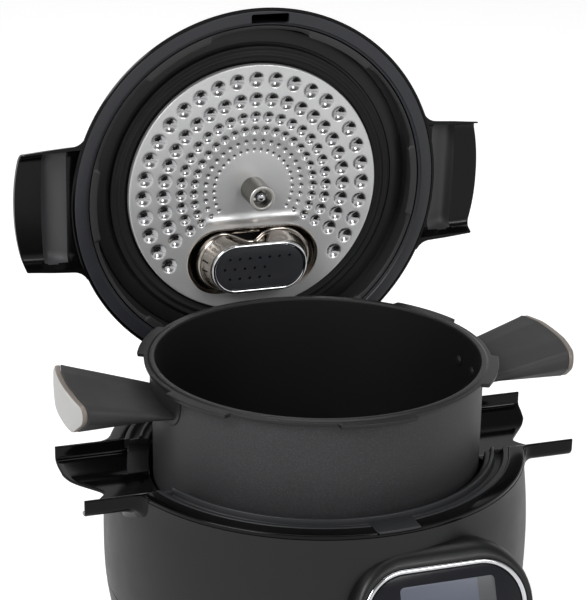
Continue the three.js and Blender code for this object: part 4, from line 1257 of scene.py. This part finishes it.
def steelForm():
    s = steelLid
    inputs = {"Pitch degrees": s["pitch"], "Depth share": s["depthShare"], "Bar place": s["barY"],
              "Bar half length": s["barHalf"], "Bar height": s["barHigh"], "Bar width": s["barWide"]}
    for k, (row, size, reach) in enumerate(s["rows"]):
        inputs[f"Row {k + 1} radius"], inputs[f"Row {k + 1} size"] = float(row), float(size)
        inputs[f"Row {k + 1} reach"] = float(reach)
    blank = turnedForm(steelProfile(), 640)
    shaped = withRules(blank, "innerLidPress", looks["disc"], inputs, dimpleRule)
    half, wide, middle = s["window"]
    window = slabForm(roundedBox(2 * half, 2 * wide, wide - 0.5, (0, middle), 16), 150, 400)
    return carved(shaped, window)


def markDimplePolishAndShade(thing):
    # an attribute: one inside a dimple, where the steel is polished and its tone is darkened as painted
    # shade, and nought on the satin face
    s = steelLid
    back = lidPlace.inverted()
    pressed = thing.data.attributes.new("pressed", "FLOAT", "POINT")
    pitch = radians(s["pitch"])
    for vertex in thing.data.vertices:
        spot = back @ vertex.co
        at, bearing = hypot(spot.x, spot.y), atan2(spot.x, -spot.y)
        if at > 96 or spot.z > s["z"] + 6:
            continue
        step = round(bearing / pitch)
        for row, size, reach in s["rows"]:
            away = hypot((bearing - step * pitch) * row, at - row) / size
            if away < 1.05 and abs(step * pitch) < radians(reach) + 0.02:
                pressed.data[vertex.index].value = min(1, max(0, (1.05 - away) * 4))


innerLid = piece("steelLid", steelForm(), lidPlace, looks["disc"], "lid", ["inner_lid"], crease=50)
markDimplePolishAndShade(innerLid)
print("inner lid made")

# the valve cover: a chrome stadium with a finger dip in its upper wall, and a perforated dark face
valve = {"middle": 57.0, "face": 206.0, "disc": rimTop - 0.2, "dip": 9.0, "dipX": -1.0, "dipLeft": 15.0,
         "dipRight": 8.5, "slit": (7.0, 1.3, 0.6), "slitTurns": (-28, -8, 14), "slitOut": 21.0,
         "plateHalf": 35.5, "plateWide": 17.1}


def stadium(half, wide, count=30):
    # the straight sides carry as many points as the ends, so the dip can bend them
    made = []
    length = half - wide
    for side in (1, -1):
        for k in range(count):
            made.append((side * (2 * length * k / count - length), -side * wide))
        for k in range(count):
            a = pi * k / count - 0.5 * pi
            made.append((side * (length + wide * cos(a)), side * wide * sin(a)))
    return made


def valveCoverForm():
    v = valve
    top, low = v["disc"], v["face"]
    walls = [(46.0, 24.6, top - 0.2, 1), (46.3, 24.9, top - 0.7, 1), (46.0, 24.6, top - 1.2, 1),
             (44.9, 23.7, top - 1.5, 1), (44.7, 23.5, top - 2.2, 1), (44.8, 23.6, top - 2.6, 1),
             (44.2, 23.1, top - 3.0, 1), (43.0, 22.6, top - 4.5, 0.9), (41.8, 22.0, top - 7.5, 0.66),
             (40.4, 21.2, top - 11.5, 0.36), (39.2, 20.5, top - 15.0, 0.12), (38.5, 20.0, low + 2.6, 0),
             (38.6, 20.1, low + 1.3, 0), (38.1, 19.6, low + 0.4, 0), (37.2, 18.7, low, 0),
             (36.3, 17.9, low + 0.05, 0), (35.9, 17.5, low + 0.4, 0), (35.8, 17.4, low + 1.4, 0),
             (35.8, 17.4, low + 3.6, 0), (36.6, 18.2, low + 4.6, 0), (37.6, 19.0, top - 12, 0.36),
             (39.4, 20.0, top - 7.5, 0.66), (41.2, 20.8, top - 4.5, 0.9), (43.0, 22.2, top - 0.2, 1)]
    loops = []
    for half, wide, z, share in walls:
        loop = []
        for x, y in stadium(half, wide):
            width = v["dipLeft"] if x < v["dipX"] else v["dipRight"]
            dip = v["dip"] * share * exp(-(((x - v["dipX"]) / width) ** 2))
            loop.append((x, v["middle"] + y + dip * min(1, max(0, -y / (0.6 * wide))), z))
        loops.append(loop)
    body = loftForm(loops, ring=True)
    slits = []
    slit = slabForm(roundedBox(*v["slit"], (0, 0), 3), -3, 3)
    for turn in v["slitTurns"]:
        a = radians(180 + turn)
        x, y = -22 + v["slitOut"] * cos(a), v["middle"] + v["slitOut"] * sin(a)
        out = Matrix.Translation((x, y, (top + low) / 2 + 1.5))
        slits.append(moved(slit, out @ Matrix.Rotation(a, 4, "Z") @ Matrix.Rotation(radians(90), 4, "Y")))
    return carved(body, *slits)


def refinished(thing, look, chosen):
    # another finish on the faces that a rule picks, by their place and normal in the lid's own frame
    thing.data.materials.append(look)
    back = lidPlace.inverted()
    turned = back.to_3x3().normalized()
    for face in thing.data.polygons:
        if chosen(back @ face.center, turned @ face.normal):
            face.material_index = 1


shell = piece("valveShell", valveCoverForm(), lidPlace, looks["smoked"], "valve_cover",
              ["valve_cover"], crease=42)
refinished(shell, looks["chrome"], lambda spot, normal: spot.z < valve["face"] + 0.9)


def skirtForm():
    # a trough pressed round the cover, its rim standing on the inner lid
    z = valve["disc"]
    rows = [(53.6, 26.6, z + 0.3), (53.7, 26.7, z - 0.5), (53.0, 26.0, z - 1.0), (52.2, 25.2, z - 0.6),
            (51.4, 24.6, z + 0.8), (49.6, 23.8, z + 2.4), (46.4, 22.6, z + 3.2), (42.0, 21.4, z + 3.0),
            (42.0, 21.4, z + 4.2), (47.0, 22.9, z + 4.4), (51.0, 24.4, z + 3.6), (52.8, 25.8, z + 1.6)]
    loops = []
    for half, wide, at in rows:
        loops.append([(x, valve["middle"] + y, at) for x, y in stadium(half, wide)])
    return loftForm(loops, ring=True)


piece("valveSkirt", skirtForm(), lidPlace, looks["smoked"], "valve_cover", ["valve_cover"],
      crease=50)


def faceRule(tree, given):
    # three staggered rows of small round holes, cut from the blank
    drills = []
    for k, (count, shift) in enumerate((("Upper holes", 0.0), ("Middle holes", -0.5), ("Lower holes", 0.0))):
        x = given["Left hole"] + given["Spacing"] * shift
        y = given["Row spacing"] * (k - 1.0) + valve["middle"]
        start = tree.node("ShaderNodeCombineXYZ", None, [x, y, valve["face"] + 2.0])
        step = tree.node("ShaderNodeCombineXYZ", None, [given["Spacing"], given["Row lean"], 0.0])
        drills.append(tree.node("GeometryNodeMeshLine", {"mode": "OFFSET"},
                                {"Count": given[count], "Start Location": start, "Offset": step}))
    places = tree.joined("GeometryNodeJoinGeometry", [(0, row) for row in drills])
    drill = tree.node("GeometryNodeMeshCylinder", None,
                      {"Vertices": 12, "Radius": given["Hole radius"], "Depth": 6.0})
    drilled = tree.node("GeometryNodeInstanceOnPoints", None, {"Points": places, "Instance": drill})
    cutters = tree.node("GeometryNodeRealizeInstances", None, [drilled])
    return tree.joined("GeometryNodeMeshBoolean", [(0, given["Geometry"]), (1, cutters)],
                       {"operation": "DIFFERENCE"})


facePlate = slabForm(stadium(valve["plateHalf"], valve["plateWide"], 16), valve["face"] + 1.3,
                     valve["face"] + 3.3, 0.4)
facePlate = shifted(facePlate, 0, valve["middle"], 0)
holes = {"Upper holes": 7, "Middle holes": 5, "Lower holes": 5, "Left hole": -24.0, "Spacing": 8.0,
         "Row spacing": 8.0, "Row lean": 0.0, "Hole radius": 1.15}
piece("valveFace", withRules(facePlate, "facePerforation", looks["valveGrey"], holes, faceRule), lidPlace,
      looks["valveGrey"], "valve_cover", ["valve_face"])


# the hollow nut in the middle, and the ball-ended pin inside it
nut = {"face": 204.2, "bore": 7.3, "radius": 10.0, "flange": 12.0, "seat": 231.2, "post": 4.6}
pin = {"ball": 4.2, "middle": 210.2, "stem": 1.6, "root": 222.1}


def nutForm():
    n = nut
    face, seat, r, post = n["face"], n["seat"], n["radius"], n["post"]
    return turnedForm(softened([
        (n["bore"], face, 0.3), (r - 0.5, face, 0.5), (r, face + 0.8, 0.3), (r, seat - 2, 0.5),
        (n["flange"], seat - 1, 0.5), (n["flange"], seat, 0.2), (post, seat), (post, seat - 11),
        (n["bore"] - 0.1, seat - 11, 1.5), (n["bore"] - 0.1, face + 1, 0.4),
    ], 5), 72)


def onEnd(spot, normal):
    # the end face of the nut and its bore are paler
    return spot.z < nut["face"] + 0.7 or hypot(spot.x, spot.y) < nut["bore"]


nutMade = piece("lidNut", nutForm(), lidPlace, looks["nut"], "centre_nut", ["centre_nut"])
refinished(nutMade, looks["nutEnd"], onEnd)
ballSteps = 16
ball = []
for k in range(ballSteps - 1):
    around = pi * k / ballSteps
    ball.append((pin["ball"] * sin(around), pin["middle"] - pin["ball"] * cos(around)))
stem = [(pin["stem"], pin["middle"] + 3.7), (pin["stem"], pin["root"]), (0, pin["root"])]
piece("floatPin", turnedForm(ball + stem, 40), lidPlace, looks["steel"], "lid", ["float_ball"])
print("valve cover and nut made")

# the side handles of the lid: a hood over each pot handle, open underneath
grip = {
    "root": 128.0, "tip": 186.5, "rootHalf": 49.6, "tipHalf": 46.6, "aside": 1.2, "bulge": 6.3,
    "low": lidBottom, "high": lidBottom + 22, "tipHigh": lidBottom + 16.5, "wall": 2.8, "tipWall": 1.4,
    "ceiling": 227.6, "channelTop": 233.0, "channelFrom": 141.0, "channelTo": 166.5, "rootFillet": 12.0,
    "draft": 7.0, "corner": 8.0,
}


def gripHook(x, y):
    # the end of the handle is bowed: its corners stand back
    return grip["bulge"] * (abs(y) / grip["tipHalf"]) ** 2.2 * ease(x, 156, grip["tip"])


def gripSection(x, pinch):
    g = grip
    share = ease(x, 150, g["tip"])
    high = g["high"] + (g["tipHigh"] - g["high"]) * share - pinch
    along = (x - 144) / (g["tip"] - 144)
    half = g["rootHalf"] + (g["tipHalf"] - g["rootHalf"]) * max(0, along) - pinch
    inward = half - (g["wall"] + (g["tipWall"] - g["wall"]) * share) + 2 * pinch
    draft = g["draft"] * (1 - 0.3 * share)
    low = g["low"] + pinch
    ceiling = g["ceiling"]
    if g["channelFrom"] < x < g["channelTo"]:
        # steep at its outer end, easy towards the ring
        share = (x - g["channelFrom"]) / (g["channelTo"] - g["channelFrom"])
        steep = sqrt(max(0, 1 - ease(share, 0.74, 1) ** 1.4))
        ceiling += (g["channelTop"] - g["ceiling"]) * ease(share, 0.1, 0.74) * steep
    ceiling = min(ceiling, high - 1.6)
    outer = softened([(half, low, 0.5), (half - draft, high, g["corner"]), (0, high + 0.8, 60),
                      (-half + draft, high, g["corner"]), (-half, low, 0.5)], 8, closed=False)
    inner = softened([(-inward, low, 0.4), (-inward + 3.0, ceiling, 8.5), (0, ceiling + 0.01, 30),
                      (inward - 3.0, ceiling, 8.5), (inward, low, 0.4)], 8, closed=False)
    return outer, inner


def evenly(row, count):
    # an open row of points resampled to a number of even steps
    lengths = [0.0]
    for a, b in zip(row, row[1:]):
        lengths.append(lengths[-1] + hypot(b[0] - a[0], b[1] - a[1]))
    made, at = [], 0
    for k in range(count + 1):
        target = lengths[-1] * k / count
        while at < len(row) - 2 and lengths[at + 1] < target:
            at += 1
        share = (target - lengths[at]) / max(1e-9, lengths[at + 1] - lengths[at])
        a, b = row[at], row[at + 1]
        made.append((a[0] + (b[0] - a[0]) * share, a[1] + (b[1] - a[1]) * share))
    return made


def gripForm():
    g = grip
    stations = [g["root"] + 1.6 * k for k in range(8)]
    stations += [g["channelFrom"] + 0.85 * k for k in range(31)]
    stations += [171, 173.5, 176, 178.5, 181, 183, 184.8, 185.7, 186.2, 186.5]
    f, steps = g["rootFillet"], 72
    loops = []
    for x in stations:
        pinch = {186.2: 0.12, 186.5: 0.5}.get(x, 0)
        outer, inner = gripSection(x, pinch)
        loop = []
        for row, outside in ((outer, True), (inner, False)):
            for y, z in evenly(row, steps):
                grow = 0.0
                if outside and x < 170:
                    r = radiusAt(lid["cover"], z, lid["cover"][0][0])
                    centre = sqrt((r + f) ** 2 - (abs(y) + f) ** 2)
                    touch = centre * r / (r + f)
                    if x < centre:
                        at = max(x, touch)
                        grow = f - sqrt(max(0.0, f * f - (centre - at) ** 2))
                        grow *= ease(abs(y), 0.62 * g["rootHalf"], 0.9 * g["rootHalf"])
                side = 1 if y > 0 else -1
                loop.append((x - gripHook(x, y), y + side * grow + g["aside"], z))
        loops.append(loop)
    points = [p for loop in loops for p in loop]
    columns = len(loops[0])
    faces = gridFaces(len(loops), columns, False)
    for start in (0, len(points) - columns):
        for i in range(steps):
            faces.append((start + i, start + i + 1, start + columns - 2 - i, start + columns - 1 - i))
    return points, faces


def seatedGrip():
    # the part of the handle inside the cover is cut away
    core = [(0, 150), (145.2, 150)] + [(r - 0.5, z) for r, z in coverOutline()]
    return carved(gripForm(), turnedForm(core, 224))


def inHollow(spot, normal):
    # the hollow under a handle is satin, the rest is gloss
    along = abs(spot.x) + gripHook(abs(spot.x), spot.y)
    return normal.z < -0.12 and spot.z > 224.5 and 147.0 < along < grip["channelTo"]


for side, turn in (("Right", lambda form: form), ("Left", mirroredX)):
    handleMade = piece(f"lidHandle{side}", turn(seatedGrip()), lidPlace, looks["grip"], "lid",
                       [f"lid_handle_{side.lower()}"], crease=36)
    refinished(handleMade, looks["gripHollow"], inHollow)
print("lid handles made")


# what repeats under the cooker and in the pot is one shape put on a few points
def spreadRule(tree, given):
    # the form itself is the copy: it goes on the corners of a grid, or round a circle when one is asked for
    size = {"Size X": given["Across"], "Size Y": given["Along"],
            "Vertices X": given["Columns"], "Vertices Y": given["Rows"]}
    grid = tree.node("GeometryNodeMeshGrid", None, size)
    circle = tree.node("GeometryNodeMeshCircle", None,
                       {"Vertices": given["Round count"], "Radius": given["Round radius"]})
    turned = tree.node("GeometryNodeTransform", None, {"Geometry": circle, "Rotation": (0, 0, radians(-90))})
    isRound = tree.node("FunctionNodeCompare", {"data_type": "FLOAT", "operation": "GREATER_THAN"},
                        {0: given["Round radius"], 1: 0.0})
    points = tree.node("GeometryNodeSwitch", {"input_type": "GEOMETRY"},
                       {"Switch": isRound, "False": grid, "True": turned})
    x = tree.node("ShaderNodeSeparateXYZ", None, [tree.node("GeometryNodeInputPosition")], "X")
    back = (x < 0.0) * given["Turn left ones"] * pi
    turn = tree.node("ShaderNodeCombineXYZ", None, [0.0, 0.0, back])
    return tree.node("GeometryNodeInstanceOnPoints", None,
                     {"Points": points, "Instance": given["Geometry"], "Rotation": turn})


def spread(form, name, look, across=0.0, along=0.0, roundRadius=0.0, turnLeft=0.0):
    inputs = {"Across": across, "Along": along, "Columns": 2, "Rows": 2, "Round count": 3,
              "Round radius": roundRadius, "Turn left ones": turnLeft}
    return withRules(form, name, look, inputs, spreadRule)


foot = {"radius": 11.0, "high": 7.7, "circle": 112.0}
footForm = turnedForm(softened([
    (0, 0.5), (5.6, 0.5, 0.3), (6.2, 0, 0.3), (foot["radius"] - 1.6, 0, 1.2),
    (foot["radius"] - 0.4, 2.4, 0.8), (foot["radius"], 4.4, 0.6),
    (foot["radius"], foot["high"], 0.3), (0, foot["high"]),
], 4), 40)
corner = foot["circle"] * sqrt(2)
piece("feet", spread(footForm, "footRule", looks["rubber"], corner, corner), basePlace, looks["rubber"],
      "base", ["foot_front_left", "foot_front_right", "foot_rear_left", "foot_rear_right"])

screw = {"low": 5.3, "head": 4.0, "shank": 1.9, "long": 24.0, "circle": 129.0, "slot": 2.2, "slotHalf": 0.4}


def screwForm():
    # a round head with a cross recess, looking down
    w = screw
    z, r, shank, top = w["low"], w["head"], w["shank"], w["low"] + w["long"]
    head = turnedForm(softened([(0, z), (r - 1.4, z, 1.4), (r, z + 1.1, 0.4), (r, z + 2.4, 0.2),
                                (shank, z + 2.4), (shank, top), (0, top)], 4), 32)
    a, b = w["slot"], w["slotHalf"]
    cross = [boxForm((-x, -y, z - 1), (x, y, z + 1)) for x, y in ((a, b), (b, a))]
    return carved(head, *cross)


screws = spread(screwForm(), "screwRule", looks["steel"], roundRadius=screw["circle"])
piece("baseScrews", screws, basePlace, looks["steel"], "base",
      ["bottom_screw_1", "bottom_screw_2", "bottom_screw_3"])

rivet = {"inner": 114.3, "apart": 24.0, "z": rimTop - 23, "head": 4.0}
headOut = turnedForm(softened([(0, 0), (2.2, 0.1, 1.5), (rivet["head"], 1.2, 0.3), (rivet["head"], 1.7, 0.2),
                               (2.4, 1.7), (2.4, 7.6), (0, 7.6)], 4), 28)
alongX = Matrix.Translation((0, 0, rivet["z"])) @ Matrix.Rotation(radians(90), 4, "Y")
rivetForm = moved(headOut, alongX)
rivets = spread(rivetForm, "rivetRule", looks["satinBlack"], 2 * rivet["inner"], rivet["apart"], turnLeft=1.0)
piece("potRivets", rivets, potPlace, looks["satinBlack"], "pot",
      ["rivet_right_front", "rivet_right_rear", "rivet_left_front", "rivet_left_rear"])

# the knob on the lid: a disc with fine ribs round it and a bar to hold
knob = {"radius": 40.6, "low": 282.5, "barHalf": 11.0, "ribs": 60, "bore": 6.5, "shaft": 9.0,
        "shaftLow": 242.0}


def ribRule(tree, given):
    circle = tree.node("GeometryNodeMeshCircle", None,
                       {"Vertices": given["Rib count"], "Radius": given["Rib radius"]})
    lifted = tree.node("GeometryNodeTransform", None,
                       {"Geometry": circle, "Translation": (0, 0, knob["low"] + 2.6)})
    rib = tree.node("GeometryNodeMeshCylinder", None,
                    {"Vertices": 8, "Radius": given["Rib size"], "Depth": given["Rib length"]})
    ribs = tree.node("GeometryNodeInstanceOnPoints", None, {"Points": lifted, "Instance": rib})
    return tree.joined("GeometryNodeJoinGeometry", [(0, ribs), (0, given["Geometry"])])


def knobForm():
    k = knob
    z, r = k["low"], k["radius"]
    disc = turnedForm(softened([
        (0, z), (r - 0.6, z, 0.5), (r, z + 0.8, 0.4), (r, z + 4.6, 1.4), (r - 3.2, z + 7.2, 2.4), (12, z + 8),
        (0, z + 8),
    ], 5), 160)
    half, wide = r - 3.4, k["barHalf"]
    outline = roundedBox(2 * half, 2 * wide, 5.0)
    outline = finely(outline + [outline[0]], 5)[:-1]
    bar = []
    for share, at in ((0.0, z + 5.5), (0.0, z + 14), (0.25, z + 19), (0.55, z + 22), (0.95, z + 23.3),
                      (1.6, z + 23.8), (2.8, z + 24.0)):
        scale = 1 - share * 2.0 / half, 1 - share * 1.5 / wide
        waist = [1 - 0.16 * cos(pi * x / (2 * half)) for x, y in outline]
        bar.append([(x * scale[0], y * scale[1] * w, at) for (x, y), w in zip(outline, waist)])
    low, thin = k["shaftLow"], k["shaft"]
    shaft = turnedForm([(0, low), (thin, low), (thin, z + 2), (0, z + 2)], 48)
    bore = discForm(k["bore"], z + 10, z + 60)
    solid = carved(carved(disc, loftForm(bar), shaft, operation="UNION"), bore)
    inputs = {"Rib count": k["ribs"], "Rib radius": k["radius"] - 0.05, "Rib size": 0.4, "Rib length": 3.6}
    return withRules(solid, "knobRibs", looks["gloss"], inputs, ribRule)


piece("lidKnob", knobForm(), lidPlace, looks["gloss"], "knob", ["knob"])

# the weighted valve over the steam pipe
weight = {"radius": 13.0, "low": 283.5, "top": 299.0, "bore": 5.5, "groove": 288.1}


def weightForm():
    w = weight
    r, low, top, bore, groove = w["radius"], w["low"], w["top"], w["bore"], w["groove"]
    return turnedForm(softened([
        (bore, low), (r, low, 0.8), (r, groove - 1.1, 0.3), (r - 0.6, groove - 0.5, 0.3),
        (r - 0.6, groove + 0.5, 0.3), (r, groove + 1.1, 0.3), (r, top - 5, 1.6), (r - 3, top, 1.6),
        (3.2, top, 0.6), (2.6, top - 0.6, 0.3), (0, top - 0.6), (0, low + 4.8), (bore, low + 4.8),
    ], 4), 64)


piece("steamWeight", shifted(weightForm(), *lid["steam"], 0), lidPlace, looks["satinBlack"], "steam_valve",
      ["steam_valve"])


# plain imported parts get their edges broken
def softEdged(node, width):
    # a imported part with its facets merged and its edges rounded, in millimetres
    mesh = nodes[node].data.copy()
    shape = bmesh.new()
    shape.from_mesh(mesh)
    bpy.data.meshes.remove(mesh)
    bmesh.ops.scale(shape, vec=(1000, 1000, 1000), verts=shape.verts)
    bmesh.ops.remove_doubles(shape, verts=shape.verts, dist=0.002)
    bmesh.ops.dissolve_limit(shape, angle_limit=radians(1.5), verts=shape.verts, edges=shape.edges)
    shape.verts.index_update()
    form = [tuple(v.co) for v in shape.verts], [tuple(v.index for v in face.verts) for face in shape.faces]
    shape.free()
    return bevelled(form, width)


softParts = (
    ("powerInlet", "power_inlet", 0.5, "rubber", "base", "black_rubber"),
    ("dripCup", "condensate_cup", 0.7, "trim", "condensate_cup", "grey_trim"),
    ("hingeBracket", "hinge_bracket", 0.6, "gloss", "base", "gloss_black"),
    ("hingeArm", "hinge_arm", 0.6, "gloss", "lid", "gloss_black"),
    ("releaseButton", "release_button", 0.7, "capFace", "release_button", "silver_plastic"),
)
for name, node, width, finish, body, slot in softParts:
    piece(name, softEdged(node, width), toMetres, looks[finish], body, [node])
print("hidden sides made")

# what stays as it was packed gets its finish here
kept = {
    "steel": ["sensor_spring", "hinge_pin", "hinge_spring", "arm_screw_1", "arm_screw_2", "steam_pipe",
              "safety_valve"],
    "aluminium": ["heating_plate", "sensor_cap"],
    "trim": ["bottom_plate"],
    "board": ["control_board"],
}
for finish, names in kept.items():
    for name in names:
        if not nodes[name].hide_render:
            nodes[name].data.materials.clear()
            nodes[name].data.materials.append(looks[finish])

# the studio: a pale floor, a white surround, soft lamps and the camera
studio = {
    "azimuth": -18.88, "elevation": 19.84, "roll": 0.92, "lens": 119.64,
    "fromRim": (-0.4475, -1.2529, 0.5204),
    "wallLevel": 0.5, "roofLevel": 0.16,
    "floorHalf": 30, "floorTone": "#d9d9d9", "floorGlow": 0.66, "floorSheen": 0.25,
    "lamps": (
        ("keyLamp", (-2.2, -1.0, 2.3), (0, 0, 0.3), 52, (1.6, 1.3)),
        ("topLamp", (0.2, 0.5, 2.8), (0, 0, 0.3), 20, (2.0, 1.4)),
        ("frontLamp", (1.1, -2.6, 2.1), (0, 0.2, 0.35), 26, (1.2, 0.9)),
    ),
}


def seenRay(tree, direct=1.0, mirrored=1.0):
    # for a ray from the camera or through clear glass, and for one from a mirror
    kinds = ("Camera", "Transmission", "Glossy")
    first, through, glossy = (tree.node("ShaderNodeLightPath", output=f"Is {kind} Ray") for kind in kinds)
    straight = tree.maths("MAXIMUM", first, through) * direct
    return tree.maths("MAXIMUM", straight, glossy * mirrored)


def makeSurround(scene):
    world = bpy.data.worlds.new("surround")
    tree = emptied(world)
    white = seenRay(tree)
    bearing = tree.node("ShaderNodeTexCoord", output="Generated")
    upward = tree.node("ShaderNodeSeparateXYZ", None, [bearing], "Z")
    level = tree.span(upward, 0.25, 0.75, studio["wallLevel"], studio["roofLevel"])
    wall = 1 - tree.span(upward, 0.2, 0.5)
    strength = level + white * wall * (1 - level)
    back = tree.node("ShaderNodeBackground", None, [(1, 1, 1, 1), strength])
    tree.node("ShaderNodeOutputWorld", None, [back])
    scene.world = world


def makeFloor(scene):
    h = studio["floorHalf"]
    mesh = bpy.data.meshes.new("floor")
    mesh.from_pydata([(-h, -h, 0), (h, -h, 0), (h, h, 0), (-h, h, 0)], [], [(0, 1, 2, 3)])
    floor = bpy.data.objects.new("floor", mesh)
    scene.collection.objects.link(floor)
    look = bpy.data.materials.new("floorPaper")
    tree = emptied(look)
    paper = {"Base Color": colour(studio["floorTone"]), "Roughness": 0.8}
    shader = tree.node("ShaderNodeBsdfPrincipled", None, paper)
    glow = seenRay(tree, studio["floorGlow"], studio["floorSheen"])
    light = tree.node("ShaderNodeEmission", None, [(1, 1, 1, 1), glow])
    tree.node("ShaderNodeOutputMaterial", None, [tree.node("ShaderNodeAddShader", None, [shader, light])])
    mesh.materials.append(look)


def makeLamps(scene):
    for name, place, target, power, size in studio["lamps"]:
        lamp = bpy.data.lights.new(name, "AREA")
        lamp.energy, lamp.shape = power, "RECTANGLE"
        lamp.size, lamp.size_y = size
        thing = bpy.data.objects.new(name, lamp)
        thing.location = place
        thing.rotation_euler = (Vector(target) - Vector(place)).to_track_quat("-Z", "Y").to_euler()
        scene.collection.objects.link(thing)


def makeCamera(scene):
    camera = bpy.data.objects.new("camera", bpy.data.cameras.new("camera"))
    azimuth, elevation, roll = (radians(studio[k]) for k in ("azimuth", "elevation", "roll"))
    right = Vector((cos(azimuth), sin(azimuth), 0))
    ahead = Vector((-sin(azimuth) * cos(elevation), cos(azimuth) * cos(elevation), -sin(elevation)))
    up = right.cross(ahead)
    tilted = cos(roll) * right + sin(roll) * up
    upright = cos(roll) * up - sin(roll) * right
    rim = Vector((0, axisPoint.y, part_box("pot")[1].z))
    turn = Matrix((tilted, upright, -ahead)).transposed().to_4x4()
    camera.matrix_world = Matrix.Translation(rim + Vector(studio["fromRim"])) @ turn
    camera.data.lens = studio["lens"]
    camera.data.clip_start, camera.data.clip_end = 0.05, 60
    scene.collection.objects.link(camera)
    scene.camera = camera


bpy.context.scene.view_settings.view_transform = "Standard"
for make in (makeSurround, makeFloor, makeLamps, makeCamera):
    make(bpy.context.scene)
print("studio made")
